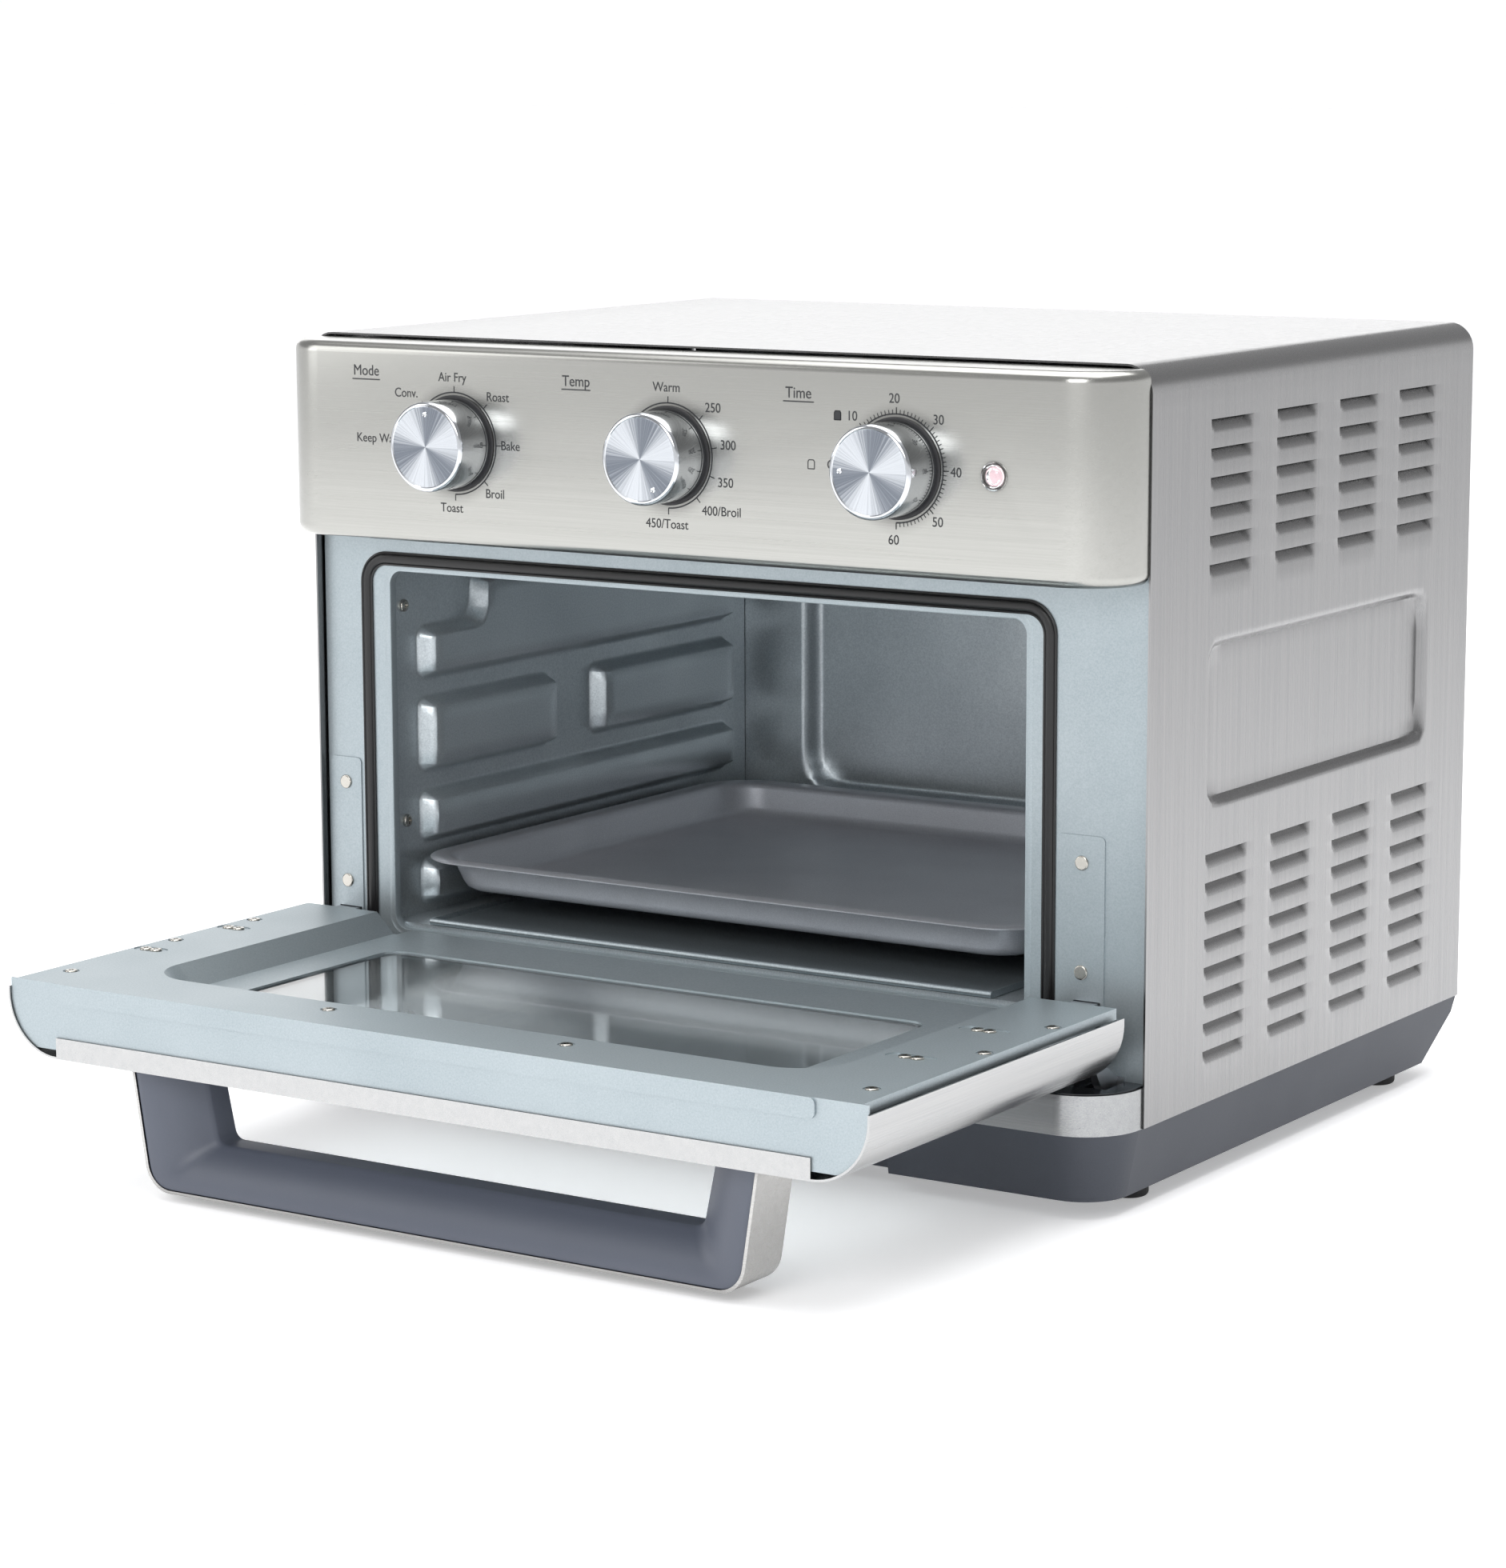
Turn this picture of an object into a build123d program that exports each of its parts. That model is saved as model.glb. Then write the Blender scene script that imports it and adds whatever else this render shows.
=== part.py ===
from build123d import *
from math import cos, sin, radians
import os

# Countertop toaster oven with a drop-down door, in millimetres.
# The parts are laid out in the casing's own frame: x across, y back from the casing's front edge,
# z up from the casing's bottom edge. The door is open and the pan and crumb tray are pushed in.
# When a part is written it is moved so that the origin is the middle of the footprint on the table.

# --- driving dimensions -------------------------------------------------------------------------
CASE_W = 460.0        # casing width
CASE_D = 332.0        # casing depth
CASE_H = 336.0        # casing height
CASE_R = 12.0         # bend radius of the casing's top edges
SHEET = 1.0           # sheet metal thickness
FRONT_OUT = 31.0      # how far panel, trim and closed door stand out in front of the casing
CORNER_R = 28.0       # plan radius of panel, trim and door corners
PANEL_Z = 241.5       # control panel bottom edge
PANEL_TOP = 335.0     # control panel top edge
TRIM_H = 18.4         # height of the steel band under the door
FRAME_Y = 5.0         # front face of the oven's front frame
BASE_H = 31.0         # height of the plastic base
FOOT_H = 8.5          # rubber feet under the base
REAR_OUT = 20.0       # how far the rear spacers stand off the rear panel

CAVITY_MID = -11.0    # the cavity sits left of the middle, beside the fan compartment
CAVITY_HALF = 182.0   # half the cavity's width
CAVITY_Y0, CAVITY_Y1 = 7.0, 325.0
CAVITY_Z0, CAVITY_Z1 = 46.5, 232.0
OPEN_HALF = 177.8     # half the width of the frame's opening
OPEN_Z0, OPEN_Z1 = 44.0, 222.0
GROOVES = (79.0, 113.7, 160.4)   # heights of the three pan grooves
GROOVE_GAP = 8.0      # height of a groove
GUIDE_OUT = 8.5       # how far the pressed guides stand into the cavity

HINGE_Y, HINGE_Z = -21.5, 32.5   # door hinge axis
DOOR_IN = 24.8        # hinge axis to the door's inner face
DOOR_OUT = 10.0       # hinge axis to the door's outer face
DOOR_LEN = 207.5      # hinge axis to the door's free edge
DOOR_TAIL = 3.9       # door beyond the hinge axis
TUB_DEPTH = 10.0      # depth of the pressed tub in the door liner
TUB_HALF = 183.0      # half the width of the tub at the liner's face
TUB_Y0 = -192.0       # free-edge end of the tub
WINDOW = (-150.0, 150.0, -172.0, -48.0)      # x0, x1, y0, y1 of the door window
GLASS_T = 4.0         # thickness of the pane
DOOR_SCREWS = [(s * x, y) for s in (-1, 1) for x, y in ((64, -204), (215, -203), (221, -123), (221, -65))]
ARM_SCREW_Y = (-146.0, -86.0)    # rows of paired screws into the hinge arms
PIN_R = 3.0           # hinge pins
ARM_X = (-216.5, 199.0)          # centres of the two hinge arms
LUG_X = (-203.5, 213.5)          # centres of the fixed hinge lugs
ARM_HALF = 6.0        # half the width of a hinge arm
ARM_TIP = 30.0        # reach of a hinge arm beyond the axis
ARM_TOP = 20.4        # height of a hinge arm above the axis
RUN = 0.05            # radial clearance of running fits

DIAL_X = (-121.0, 0.0, 121.0)    # mode, temperature and timer dials
DIAL_Z = 289.6
KNOB_R = 21.0
KNOB_LEN = 22.0
SHAFT_R = 3.0
KNOB_REST = (0.0, 152.0, -90.0)  # pointer angle of each knob, clockwise from the top
LAMP_X, LAMP_Z = 170.5, 288.5
LENS_R = 6.0

HANDLE_Y0, HANDLE_Y1 = -216.0, -188.0
HANDLE_TOP, HANDLE_FOOT = 168.5, 160.0       # half-lengths at the door and at the far face
HANDLE_LOW = -35.5    # far face of the handle
STRIP_H = 3.3         # plastic strip between door and handle
BAND = 1.4            # steel band around the handle
GAP_TOP, GAP_FOOT = 138.0, 131.0             # half-lengths of the finger gap
GAP_LOW, GAP_Y = -13.3, -200.0               # far edge of the gap and where its scoop ends

PAN_DEPTH = 17.0
PAN_Y0, PAN_Y1 = 12.0, 302.0
PAN_HALF = 176.8
FAN_Y, FAN_Z = 170.0, 140.0      # convection fan on the right cavity wall
ELEMENT_R = 3.2       # heating rods
ELEMENTS = [(y, z) for z in (55.6, 225.0) for y in (78.0, 248.0)]

DOOR_Z0 = HINGE_Z - DOOR_OUT     # outer face of the open door
DOOR_Z1 = HINGE_Z + DOOR_IN      # inner face of the open door
DOOR_Y0 = HINGE_Y - DOOR_LEN     # free edge of the open door
DOOR_Y1 = HINGE_Y + DOOR_TAIL    # hinge end of the open door
CAVITY_X0 = CAVITY_MID - CAVITY_HALF
CAVITY_X1 = CAVITY_MID + CAVITY_HALF
SHIFT = Location((0, -(DOOR_Y0 + CASE_D + REAR_OUT) / 2, BASE_H + FOOT_H))


# --- small builders -----------------------------------------------------------------------------
def slab(x0, x1, y0, y1, z0, z1):
    """A box between two corners."""
    size = (x1 - x0, y1 - y0, z1 - z0)
    return Pos((x0 + x1) / 2, (y0 + y1) / 2, (z0 + z1) / 2) * Box(*size)


def rod_x(y, z, r, x0, x1):
    """A cylinder along x."""
    return Pos((x0 + x1) / 2, y, z) * Rot(0, 90, 0) * Cylinder(r, x1 - x0)


def rod_y(x, z, r, y0, y1):
    """A cylinder along y."""
    return Pos(x, (y0 + y1) / 2, z) * Rot(90, 0, 0) * Cylinder(r, y1 - y0)


def rod_z(x, y, r, z0, z1):
    """A cylinder along z."""
    return Pos(x, y, (z0 + z1) / 2) * Cylinder(r, z1 - z0)


def outline(points, radii=None):
    """A closed face through (a, b) points in the XY plane, with rounded corners by index."""
    face = Polygon(*points, align=None)
    for index, radius in (radii or {}).items():
        corner = Vector(*points[index], 0)
        near = sorted(face.vertices(), key=lambda v: (Vector(*v) - corner).length)
        face = fillet([near[0]], radius)
    return face


def along_y(face, y0, y1):
    """Extrude a face drawn as (x, z) from y0 to y1."""
    return Pos(0, y1, 0) * Rot(90, 0, 0) * extrude(face, y1 - y0, dir=(0, 0, 1))


def along_x(face, x0, x1):
    """Extrude a face drawn as (y, z) from x0 to x1."""
    side = Plane(origin=(x0, 0, 0), x_dir=(0, 1, 0), z_dir=(1, 0, 0))
    return side * extrude(face, x1 - x0, dir=(0, 0, 1))


def along_z(face, z0, z1, taper=0.0):
    """Extrude a face drawn as (x, y) from z0 to z1."""
    return Pos(0, 0, z0) * extrude(face, z1 - z0, taper=taper)


def rounded(x0, x1, y0, y1, r):
    """A rectangle with four rounded corners."""
    return Pos((x0 + x1) / 2, (y0 + y1) / 2) * RectangleRounded(x1 - x0, y1 - y0, r)


def bow_plan(inset, y_back, out=FRONT_OUT):
    """The plan that panel, trim and base share: straight sides and round front corners."""
    half = CASE_W / 2 - inset
    y0 = -out + inset
    r = CORNER_R - inset
    points = [(-half, y0), (half, y0), (half, y_back), (-half, y_back)]
    return outline(points, {0: r, 1: r})


def group(*solids):
    """Separate solids kept together in one node."""
    return Compound(children=list(solids))


def pan_head(x, y, z, direction, r=3.2, high=1.8, shank=1.5, depth=4.0):
    """A dome-headed cross-recess screw whose head stands out along `direction` from (x, y, z)."""
    head = Cylinder(r, high, align=(Align.CENTER, Align.CENTER, Align.MIN))
    head = fillet(head.edges().sort_by(Axis.Z)[-1], high * 0.65)
    for turn in (0, 90):
        head -= Pos(0, 0, high) * Rot(0, 0, turn) * Box(r * 1.1, 0.7, high * 0.9)
    body = head + Cylinder(shank, depth, align=(Align.CENTER, Align.CENTER, Align.MAX))
    plane = Plane(origin=(x, y, z), z_dir=direction)
    return plane * body


# --- casing -------------------------------------------------------------------------------------
LOUVRE_L, LOUVRE_W, LOUVRE_IN = 42.0, 7.0, 3.0
LOUVRE_Y0, LOUVRE_STEP = 54.5, 64.5
UPPER_Z, LOWER_Z, ROW_STEP = 306.0, 111.0, 12.9
SIDE_POCKET = (54.6, 286.3, 134.8, 211.6)     # y0, y1, z0, z1 of the pressed side panel


def louvre_places():
    """Front end and slit height of each louvre on a side: four columns above and four below."""
    places = []
    for column in range(4):
        y = LOUVRE_Y0 + column * LOUVRE_STEP
        places += [(y, UPPER_Z - row * ROW_STEP) for row in range(6)]
        places += [(y, LOWER_Z - row * ROW_STEP) for row in range(8)]
    return places


def louvre_flap(side, y, z):
    """One scoop pressed inwards, open along its upper edge."""
    outer = CASE_W / 2
    half = LOUVRE_W / 2
    flap = [(outer, z - half), (outer - SHEET, z - half),
            (outer - LOUVRE_IN - SHEET, z + half), (outer - LOUVRE_IN, z + half)]
    end = [(outer, z - half), (outer - LOUVRE_IN, z + half), (outer, z + half)]
    flap = [(side * a, b) for a, b in flap]
    end = [(side * a, b) for a, b in end]
    body = along_y(outline(flap), y, y + LOUVRE_L)
    body += along_y(outline(end), y, y + 0.8)
    body += along_y(outline(end), y + LOUVRE_L - 0.8, y + LOUVRE_L)
    return body


def outer_wrap():
    """The U-shaped steel casing with pressed side panels and louvres."""
    half = CASE_W / 2

    def arch(inset):
        points = [(-half + inset, -0.01 * inset), (half - inset, -0.01 * inset),
                  (half - inset, CASE_H - inset), (-half + inset, CASE_H - inset)]
        return outline(points, {2: CASE_R - inset, 3: CASE_R - inset})

    wrap = along_y(arch(0), 0, CASE_D) - along_y(arch(SHEET), -1, CASE_D + 1)
    y0, y1, z0, z1 = SIDE_POCKET
    deep = 4.0
    flaps = []
    cuts = []
    for side in (-1, 1):
        face = side * half
        flat = Plane(origin=(face, (y0 + y1) / 2, (z0 + z1) / 2), x_dir=(0, 1, 0), z_dir=(-side, 0, 0))
        pocket = flat * extrude(RectangleRounded(y1 - y0, z1 - z0, 6), deep, taper=45)
        boss = flat * extrude(RectangleRounded(y1 - y0 + 2, z1 - z0 + 2, 7), deep + SHEET, taper=42)
        wrap = wrap + boss - pocket
        for y, z in louvre_places():
            x = sorted((face, face - side * SHEET))
            cuts.append(slab(x[0] - 0.5, x[1] + 0.5, y, y + LOUVRE_L, z - LOUVRE_W / 2, z + LOUVRE_W / 2))
            flaps.append(louvre_flap(side, y, z))
    wrap = wrap - cuts
    return wrap + flaps


def rear_panel():
    """The steel rear panel, bulged for the back of the cavity, with vent slots near its top."""
    half = CASE_W / 2 - SHEET - 0.2
    top = CASE_H - SHEET - 0.2
    points = [(-half, 0.5), (half, 0.5), (half, top), (-half, top)]
    r = CASE_R - SHEET
    panel = along_y(outline(points, {2: r, 3: r}), CASE_D - SHEET, CASE_D)
    mid = Plane(origin=(CAVITY_MID, CASE_D - SHEET, 137), x_dir=(1, 0, 0), z_dir=(0, 1, 0))
    bulge = mid * extrude(RectangleRounded(316, 160, 28), 11, taper=40)
    hollow = mid * extrude(RectangleRounded(313, 157, 27), 10, taper=40)
    panel = panel + bulge - hollow
    slots = [slab(-140 + 28 * i, -120 + 28 * i, CASE_D - 5, CASE_D + 5, z, z + 3)
             for i in range(10) for z in (262, 274, 286, 298)]
    inlet = rod_y(180, 26, 8, CASE_D - 5, CASE_D + 5)
    return panel - slots - inlet


def base_moulding():
    """The tapered plastic base: a ring with a bottom flange, a front recess and cut rear corners."""
    taper = 11.0
    ring = Rot(180, 0, 0) * extrude(mirror(bow_plan(0, CASE_D), about=Plane.XZ), BASE_H, taper=taper)
    inner = Rot(180, 0, 0) * extrude(mirror(bow_plan(3.0, CASE_D - 3), about=Plane.XZ), BASE_H - 2.5,
                                     taper=taper)
    base = ring - inner
    base -= along_z(rounded(-190, 190, 12, CASE_D - 45, 20), -BASE_H - 1, 1)
    recess = slab(-114, 114, -FRONT_OUT - 1, -16, -BASE_H - 1, -2)
    wall = slab(-116.5, 116.5, -19, -13.5, -BASE_H + 0.2, -0.2)
    base = base + wall + slab(-116.5, -114, -22, -14, -BASE_H + 0.2, -2)
    base = base + slab(114, 116.5, -22, -14, -BASE_H + 0.2, -2) - recess
    back = [(CASE_D + 1, -BASE_H - 1), (CASE_D + 1, -6), (CASE_D - 27, -BASE_H - 1)]
    base -= along_x(outline(back), -CASE_W, CASE_W)
    return base


def bottom_plate():
    """The flat steel plate that closes the casing from below, with vent slots."""
    half = CASE_W / 2 - SHEET
    plate = slab(-half, half, FRAME_Y + 1.2, CASE_D - SHEET - 0.2, 0, SHEET)
    slots = [slab(-150 + 50 * i, -118 + 50 * i, 90 + 22 * j, 94 + 22 * j, 0, 2)
             for i in range(6) for j in range(8)]
    return plate - slots


def rubber_feet():
    """Four soft feet pressed against the base's bottom flange."""
    feet = []
    for x in (-207, 207):
        for y in (30, 289):
            foot = Pos(x, y, -BASE_H) * Cylinder(9.5, FOOT_H, align=(Align.CENTER, Align.CENTER, Align.MAX))
            feet.append(fillet(foot.edges().sort_by(Axis.Z)[0], 2.0))
    return group(*feet)


def control_panel():
    """The folded steel fascia with round ends, pierced for three shafts and the lamp."""
    bend = 5.0

    def shell(inset):
        body = along_z(bow_plan(inset, 0.0 if inset == 0 else 2.0), PANEL_Z + inset, PANEL_TOP - inset)
        front = body.edges().filter_by(lambda e: e.center().Y < -2)
        rims = [e for e in front if abs(e.center().Z - PANEL_Z - inset) < 0.1
                or abs(e.center().Z - PANEL_TOP + inset) < 0.1]
        return fillet(rims, bend - inset)

    panel = shell(0) - shell(1.2)
    for x in DIAL_X:
        panel -= rod_y(x, DIAL_Z, 5.5, -40, -20)
    return panel - rod_y(LAMP_X, LAMP_Z, LENS_R - 1.5, -40, -20)


def panel_backing():
    """The plastic carrier behind the fascia that holds the controls."""
    plate = slab(-200, 200, -29.6, -27.6, PANEL_Z + 6, PANEL_TOP - 6)
    for z in (PANEL_Z + 6, PANEL_TOP - 8):
        plate += slab(-198, 198, -27.6, FRAME_Y, z, z + 2)
    for x in DIAL_X:
        plate -= rod_y(x, DIAL_Z, 5.5, -40, -20)
    return plate - rod_y(LAMP_X, LAMP_Z, LENS_R - 1.5, -40, -20)


def bottom_trim():
    """The steel band under the door."""
    return along_z(bow_plan(0, -0.1), 0, TRIM_H) - along_z(bow_plan(1.2, 6), -1, TRIM_H + 1)


def trim_cap():
    """The plastic cap on the band: a sill that reaches back to the frame outside the door's tab."""
    cap = along_z(bow_plan(1.3, FRAME_Y - 0.1), TRIM_H - 1.4, TRIM_H + 0.6)
    cap -= slab(-176, 176, -13, 10, 0, 40)
    for x in ARM_X:
        cap -= slab(x - 7.5, x + 7.5, -16.5, 10, 0, 40)
    for x in LUG_X:
        cap -= slab(x - 5.5, x + 5.5, -14, 10, 0, 40)
    return cap + slab(-176, 176, -14.5, -13, 4, TRIM_H - 1.4)


# --- front frame and hinges ---------------------------------------------------------------------
def front_frame():
    """The steel frame around the opening, with a return lip, hinge slots and a sill below."""
    half = CASE_W / 2 - SHEET
    x0, x1 = CAVITY_MID - OPEN_HALF, CAVITY_MID + OPEN_HALF
    frame = slab(-half, half, FRAME_Y, FRAME_Y + SHEET, 1.5, CASE_H - CASE_R - 1)
    frame -= along_y(rounded(x0 - 1, x1 + 1, OPEN_Z0, OPEN_Z1 + 1, 7), 0, 20)
    lip = rounded(x0 - 1, x1 + 1, OPEN_Z0, OPEN_Z1 + 1, 7)
    inner = rounded(x0, x1, OPEN_Z0 + 1, OPEN_Z1, 6)
    frame += along_y(lip, FRAME_Y, CAVITY_Y0 + 2) - along_y(inner, 0, 20)
    for x in ARM_X:
        frame -= slab(x - ARM_HALF - 0.8, x + ARM_HALF + 0.8, 0, 20, 6, HINGE_Z + ARM_TOP + 0.4)
    for x in DIAL_X:
        frame -= slab(x - 24, x + 24, 0, 20, DIAL_Z - 26, DIAL_Z + 26)
    return frame


def hinge_cover_plates():
    """The riveted doublers that stiffen the frame around each hinge slot."""
    plates = []
    for x, x0, x1 in ((ARM_X[0], -227.5, -208.6), (ARM_X[1], 183.2, 207.5)):
        plate = along_y(rounded(x0, x1, 20.5, 128, 2.5), FRAME_Y - 0.6, FRAME_Y)
        plate -= slab(x - ARM_HALF - 0.8, x + ARM_HALF + 0.8, 0, 20, 6, HINGE_Z + ARM_TOP + 0.4)
        plates.append(plate)
    return group(*plates)


def hinge_rivets():
    """Flat-domed rivets through the cover plates."""
    rivets = []
    for x in (-218.0, 196.0):
        for z in (66.0, 115.5):
            rivet = rod_y(x, z, 3.4, FRAME_Y - 1.5, FRAME_Y - 0.6)
            rivets.append(fillet(rivet.edges().filter_by(GeomType.CIRCLE).sort_by(Axis.Y)[0], 0.7))
    return group(*rivets)


def hinge_brackets():
    """Fixed lugs on the frame, each with the pin that the door turns on."""
    lugs = []
    for x, arm_x in zip(LUG_X, ARM_X):
        side = [(FRAME_Y - 1.5, 4), (FRAME_Y - 1.5, 21), (HINGE_Y + 2, HINGE_Z + 3.8),
                (HINGE_Y - 2.5, HINGE_Z - 2.9), (HINGE_Y + 4.5, HINGE_Z - 4.5),
                (HINGE_Y + 9.5, HINGE_Z - 12.5)]
        lug = along_x(outline(side), x - 2, x + 2) + rod_x(HINGE_Y, HINGE_Z, 4.6, x - 2, x + 2)
        lug += slab(x - 5, x + 5, FRAME_Y - 1.6, FRAME_Y, 4, 21)
        lugs.append(lug + rod_x(HINGE_Y, HINGE_Z, PIN_R, arm_x + ARM_HALF - 2.5, x))
    return group(*lugs)


def arm_side():
    """A hinge arm seen from the side as (y, z)."""
    y, z = HINGE_Y, HINGE_Z
    under = DOOR_IN - SHEET
    upper = [(-134, under), (-38, under), (-26, 14), (-6, 14), (12, ARM_TOP), (ARM_TIP, ARM_TOP)]
    lower = [(ARM_TIP, ARM_TOP - 8), (11, 6), (3, 4), (-26, 4), (-40, 12), (-134, 12)]
    return outline([(y + a, z + b) for a, b in upper + lower])


def hinge_arms():
    """The door's arms: channels screwed under the liner. Each turns on a pin through an ear and
    passes through a slot in the frame, where its upper edge stops the open door."""
    arms = []
    for x in ARM_X:
        arm = along_x(arm_side(), x - ARM_HALF, x + ARM_HALF)
        arm -= along_x(Pos(0, -1.6) * arm_side(), x - ARM_HALF + 1.6, x + ARM_HALF - 1.6)
        near = x + ARM_HALF
        arm += rod_x(HINGE_Y, HINGE_Z, 5.5, near - 1.6, near)
        arm += slab(near - 1.6, near, HINGE_Y - 5.5, HINGE_Y + 5.5, HINGE_Z, HINGE_Z + 6)
        arms.append(arm - rod_x(HINGE_Y, HINGE_Z, PIN_R + RUN, near - 4, near + 2))
    return group(*arms)


def door_gasket():
    """The silicone channel pressed on the frame around the two sides and the top of the opening."""
    x0, x1, z1 = -206.3, 182.4, 231.2
    w = 6.8
    loop = outline([(x0, OPEN_Z0 + 1), (x1, OPEN_Z0 + 1), (x1, z1), (x0, z1)], {2: 15, 3: 15})
    hole = outline([(x0 + w, 0), (x1 - w, 0), (x1 - w, z1 - w), (x0 + w, z1 - w)], {2: 9, 3: 9})
    groove = outline([(x0 + 2.2, 0), (x1 - 2.2, 0), (x1 - 2.2, z1 - 2.2), (x0 + 2.2, z1 - 2.2)],
                     {2: 12.8, 3: 12.8})
    core = outline([(x0 + w - 2.2, 0), (x1 - w + 2.2, 0), (x1 - w + 2.2, z1 - w + 2.2),
                    (x0 + w - 2.2, z1 - w + 2.2)], {2: 11, 3: 11})
    seal = along_y(loop, FRAME_Y - 1.4, FRAME_Y) - along_y(hole, 0, 20)
    return seal - (along_y(groove, 0, FRAME_Y - 0.5) - along_y(core, -5, 20))


# --- cavity -------------------------------------------------------------------------------------
def side_wall(side):
    """A cavity side wall with three pan grooves between its pressed guides."""
    x = CAVITY_X0 if side < 0 else CAVITY_X1
    back = CAVITY_Y1 - 0.5
    flat = sorted((x, x + side * SHEET))
    wall = slab(*flat, CAVITY_Y0 + 2.2, back, CAVITY_Z0 + SHEET, CAVITY_Z1)
    half = GROOVE_GAP / 2
    bands = [(30, back - 18, CAVITY_Z0 + 5, GROOVES[0] - half),
             (30, back - 18, GROOVES[0] + half, GROOVES[1] - half),
             (30, 142, GROOVES[1] + half, GROOVES[2] - half),
             (176, back - 18, GROOVES[1] + half, GROOVES[2] - half),
             (30, back - 18, GROOVES[2] + half, 192),
             (74, back - 18, 186, 214)]
    pads, pits = [], []
    for y0, y1, z0, z1 in bands:
        frame = Plane(origin=(x, (y0 + y1) / 2, (z0 + z1) / 2), x_dir=(0, 1, 0), z_dir=(-side, 0, 0))
        pads.append(frame * extrude(RectangleRounded(y1 - y0, z1 - z0, 4), GUIDE_OUT, taper=22))
        under = Plane(origin=(x + side * SHEET, (y0 + y1) / 2, (z0 + z1) / 2), x_dir=(0, 1, 0),
                      z_dir=(-side, 0, 0))
        pits.append(under * extrude(RectangleRounded(y1 - y0 - 1.2, z1 - z0 - 1.2, 3.6), GUIDE_OUT,
                                    taper=22))
    wall = wall + pads
    wall = wall - pits
    lip = CAVITY_MID + side * (OPEN_HALF + 1)
    wall += slab(*sorted((x, lip)), CAVITY_Y0 + 2.2, CAVITY_Y0 + 3.2, CAVITY_Z0 + SHEET, CAVITY_Z1)
    holes = [rod_x(y, z, ELEMENT_R, x - 12, x + 12) for y, z in ELEMENTS]
    if side > 0:
        for ring, count in ((10, 6), (21, 12), (32, 18)):
            holes += [rod_x(FAN_Y + ring * cos(radians(360 / count * i)),
                            FAN_Z + ring * sin(radians(360 / count * i)), 2.6, x - 9, x + 3)
                      for i in range(count)]
    return wall - holes


def cavity_back_wall():
    """The cavity's rear wall with its rounded panel pressed towards the rear."""
    x0, x1 = CAVITY_X0, CAVITY_X1
    wall = slab(x0, x1, CAVITY_Y1, CAVITY_Y1 + SHEET, CAVITY_Z0 + SHEET, CAVITY_Z1)
    mid = Plane(origin=(CAVITY_MID, CAVITY_Y1, 142), x_dir=(1, 0, 0), z_dir=(0, 1, 0))
    press = mid * extrude(RectangleRounded(292, 150, 26), 8 + SHEET, taper=38)
    hollow = mid * extrude(RectangleRounded(290, 148, 25), 8, taper=38)
    return wall + press - hollow


def cavity_roof():
    """The cavity's roof plate with a return flange behind the frame."""
    front = CAVITY_Y0 + 2.2
    roof = slab(CAVITY_X0, CAVITY_X1, front, CAVITY_Y1, CAVITY_Z1, CAVITY_Z1 + SHEET)
    roof += slab(CAVITY_X0 + 5, CAVITY_X1 - 5, front, front + 1, OPEN_Z1 + 1, CAVITY_Z1)
    for x in (-110, 90):
        roof += Pos(x, 170, CAVITY_Z1) * Box(60, 200, 3, align=(Align.CENTER, Align.CENTER, Align.MIN))
        roof -= Pos(x, 170, CAVITY_Z1) * Box(58, 198, 2, align=(Align.CENTER, Align.CENTER, Align.MIN))
    return roof


def cavity_floor():
    """The cavity's floor plate, flanged up to the frame's sill."""
    front = CAVITY_Y0 + 2.2
    floor = slab(CAVITY_X0, CAVITY_X1, front, CAVITY_Y1, CAVITY_Z0, CAVITY_Z0 + SHEET)
    return floor + slab(CAVITY_X0, CAVITY_X1, front, front + 1, OPEN_Z0 + 1, CAVITY_Z0)


def cavity_screws():
    """Cross-recess screws in the side walls and two in the roof."""
    screws = []
    for z in (96.0, 203.0):
        screws.append(pan_head(CAVITY_X0, 20, z, (1, 0, 0)))
        screws.append(pan_head(CAVITY_X1, 20, z, (-1, 0, 0)))
    for x in (-150.0, 60.0):
        screws.append(pan_head(x, 40, CAVITY_Z1, (0, 0, -1)))
    return group(*screws)


def heating_rods(upper):
    """A pair of straight sheathed rods across the cavity, above or below the pans."""
    return group(*[rod_x(y, z, ELEMENT_R, CAVITY_X0 - 9, CAVITY_X1 + 14)
                   for y, z in ELEMENTS if (z > 140) == upper])


def element_holders():
    """Ceramic bushes where the heating rods pass through the side walls."""
    bushes = []
    for y, z in ELEMENTS:
        for x0, x1 in ((CAVITY_X0 - 7, CAVITY_X0 - SHEET), (CAVITY_X1 + SHEET, CAVITY_X1 + 9)):
            bushes.append(rod_x(y, z, 4.6, x0, x1) - rod_x(y, z, ELEMENT_R, x0 - 1, x1 + 1))
    return group(*bushes)


def convection_fan():
    """The pressed fan wheel beside the right cavity wall, with its hub and shaft."""
    x = CAVITY_X1 + SHEET + 6
    wheel = rod_x(FAN_Y, FAN_Z, 15, x, x + 1.2)
    blade = Pos(x + 3.5, FAN_Y, FAN_Z + 27) * Rot(0, 0, 28) * Box(1.0, 15, 30)
    foot = slab(x, x + 3.4, FAN_Y - 4, FAN_Y + 4, FAN_Z + 11, FAN_Z + 15)
    blades = []
    for i in range(8):
        turn = Location((0, FAN_Y, FAN_Z)) * Rot(45 * i, 0, 0) * Location((0, -FAN_Y, -FAN_Z))
        blades.append(turn * (blade + foot))
    wheel = wheel + blades + rod_x(FAN_Y, FAN_Z, 5, x - 2, x + 4)
    return wheel + rod_x(FAN_Y, FAN_Z, 2.0, x, x + 18)


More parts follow.
